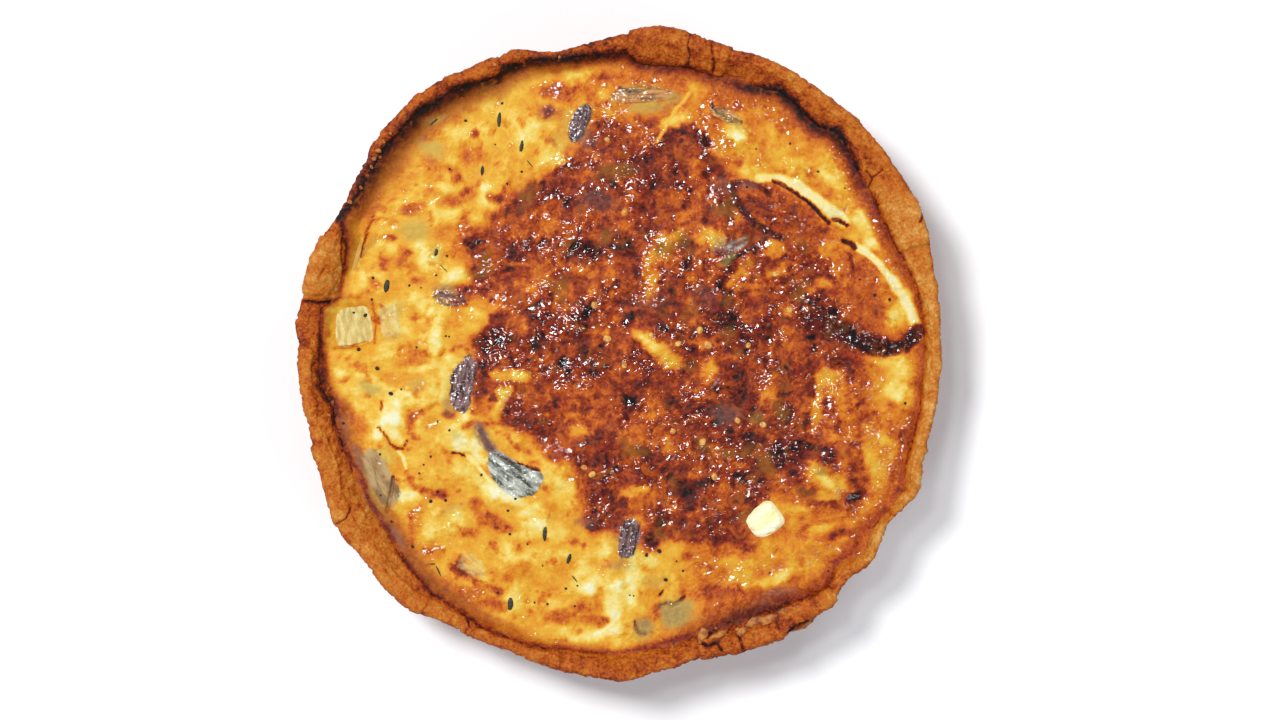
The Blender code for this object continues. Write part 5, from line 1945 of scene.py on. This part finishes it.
SEEDS = dots(0.85, 53.0, (
    (53.5, -25.5, 2.8), (31, -32, 3.2), (35.5, -45, 2.8), (-13, -41.4, 2.6), (-10, -44, 2.8),
    (30, 9.6, 3.0), (33, 4, 3.4), (58.4, 30.6, 3.0), (63.4, 17.4, 3.0), (-9, 18.8, 3.0), (-4.4, 6.4, 3.4),
    (2.2, 54, 2.4), (2, -3.4, 2.6), (-4.4, 80.4, 2.2), (22, 4.6, 2.6), (12, 7.6, 2.4), (44, -24, 2.6),
    (20, -28, 2.4), (48, 4, 2.4),
))


# ---------------------------------------------------------------- studio


@dataclass(frozen=True)
class Lamp:
    """A round soft lamp that faces the quiche."""

    name: str
    bearing: float
    tilt: float  # from straight above
    size: float  # in metres
    level: float  # what it brings a flat white surface to
    colour: Colour
    distance: float = 2.2

    def hang(self) -> None:
        """Hang the lamp."""
        bearing, tilt = math.radians(self.bearing), math.radians(self.tilt)
        light = bpy.data.lights.new(self.name, "AREA")
        light.shape, light.size, light.color = "DISK", self.size, self.colour
        light.energy = self.level * (math.pi * self.distance) ** 2 / math.cos(tilt)
        flat = math.sin(tilt)
        place = Vector((math.cos(bearing) * flat, math.sin(bearing) * flat, math.cos(tilt)))
        holder = bpy.data.objects.new(self.name, light)
        holder.location = place * self.distance
        holder.rotation_euler = place.to_track_quat("Z", "Y").to_euler()
        bpy.context.scene.collection.objects.link(holder)


PLAIN = (1.0, 1.0, 1.0)
COOL = (0.88, 0.94, 1.0)


@dataclass
class Studio:
    """The pale table, the soft lamps and the camera straight above."""

    aim: Place = (7.8, -1.5)  # what the camera is over, in mm
    rim_height: float = 36.0
    distance: float = 1118.0  # from the rim to the camera, in mm
    lens: float = 85.0
    sensor: float = 36.0
    clip: tuple[float, float] = (0.05, 20.0)  # in metres
    surround: float = 0.20  # what the light from all round brings a flat white surface to
    floor_size: float = 6.0  # in metres
    lamps: tuple[Lamp, ...] = (
        Lamp("lamp_key", 140, 30, 0.54, 0.58, PLAIN),
        Lamp("lamp_high", 130, 16, 0.28, 0.12, PLAIN),
        Lamp("lamp_back", 55, 52, 0.5, 0.12, COOL),
        Lamp("lamp_front", 235, 52, 0.5, 0.13, COOL),
        Lamp("lamp_right", 325, 56, 1.2, 0.12, COOL),
    )

    def build(self) -> None:
        """Make the floor, lights and camera."""
        self.floor()
        scene = bpy.context.scene
        scene.view_settings.view_transform = "Standard"
        world = bpy.data.worlds.new("studio")
        scene.world = world
        world.use_nodes = True
        background = world.node_tree.nodes["Background"]
        background.inputs["Color"].default_value = (*COOL, 1.0)
        background.inputs["Strength"].default_value = self.surround
        for lamp in self.lamps:
            lamp.hang()
        camera = bpy.data.cameras.new("camera")
        camera.lens, camera.sensor_width = self.lens, self.sensor
        camera.clip_start, camera.clip_end = self.clip
        holder = bpy.data.objects.new("camera", camera)
        holder.location = (self.aim[0] * MM, self.aim[1] * MM, (self.rim_height + self.distance) * MM)
        scene.collection.objects.link(holder)
        scene.camera = holder

    def floor(self) -> None:
        """Make the table's surface."""
        half = self.floor_size / 2
        mesh = bpy.data.meshes.new("table")
        corners = [(-half, -half, 0.0), (half, -half, 0.0), (half, half, 0.0), (-half, half, 0.0)]
        mesh.from_pydata(corners, [], [(0, 1, 2, 3)])
        table = bpy.data.objects.new("table", mesh)
        bpy.context.scene.collection.objects.link(table)
        shader = Shader("table_white")
        share = (0.5 + 2 * shader.grain(40.0)).over(0.0, 1.0)
        colour = shader.mix(share, (280, 280, 280), (284, 284, 284))
        mesh.materials.append(shader.finish(colour, 0.9, shader.grain(2.0), 0.01, Specular_IOR_Level=0.1))


def report(piece: bpy.types.Object) -> bpy.types.Object:
    """Log what a piece came out as, and hand it on."""
    piece.data.calc_loop_triangles()
    log.info("%s: %d triangles", piece.name, len(piece.data.loop_triangles))
    return piece


def scatters() -> list[Scatter]:
    """Every kind of small thing on the quiche."""
    flake = ScatterFinish("pastry_flaked", (150, 66, 14), (222, 146, 60), 2.4, 0.65)
    herb = ScatterFinish("thyme_baked", (14, 14, 10), (60, 66, 40), 1.2, 0.5)
    pepper = ScatterFinish("pepper_cracked", (22, 14, 10), (60, 34, 22), 0.5, 0.6)
    seed = ScatterFinish("seed_golden", (214, 128, 44), (250, 196, 96), 1.6, 0.3)
    return [
        Scatter("pastry_flakes", "crust", flake, FLAKES, 0.35, -0.2, 0.5),
        Scatter("pastry_crumbs", "crust", flake, CRUMBS, 0.8, 0.1, 0.4),
        Scatter("thyme_leaves", "herbs", herb, HERBS, 0.45, 0.1, 0.25),
        Scatter("pepper_specks", "pepper", pepper, PEPPER, 0.8, 0.15, 0.35),
        Scatter("aubergine_seeds", "seeds", seed, SEEDS, 0.4, 0.05, 0.15),
    ]


def main() -> None:
    """Build the quiche and its studio."""
    logging.basicConfig(level=logging.INFO, format="%(message)s", force=True)
    Studio().build()
    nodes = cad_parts
    shell, relief = Shell(nodes["crust"]), Relief(nodes["custard"])
    made = [report(Crust().build(shell))]
    pieces = toppings()
    for piece in pieces:
        piece.measure()
    made += [report(Custard().build(shell, relief, pieces))]
    made += [report(piece.build(relief)) for piece in pieces]
    surface = Surface(made)
    for scatter in scatters():
        report(scatter.build(surface))


if __name__ == "__main__":
    main()
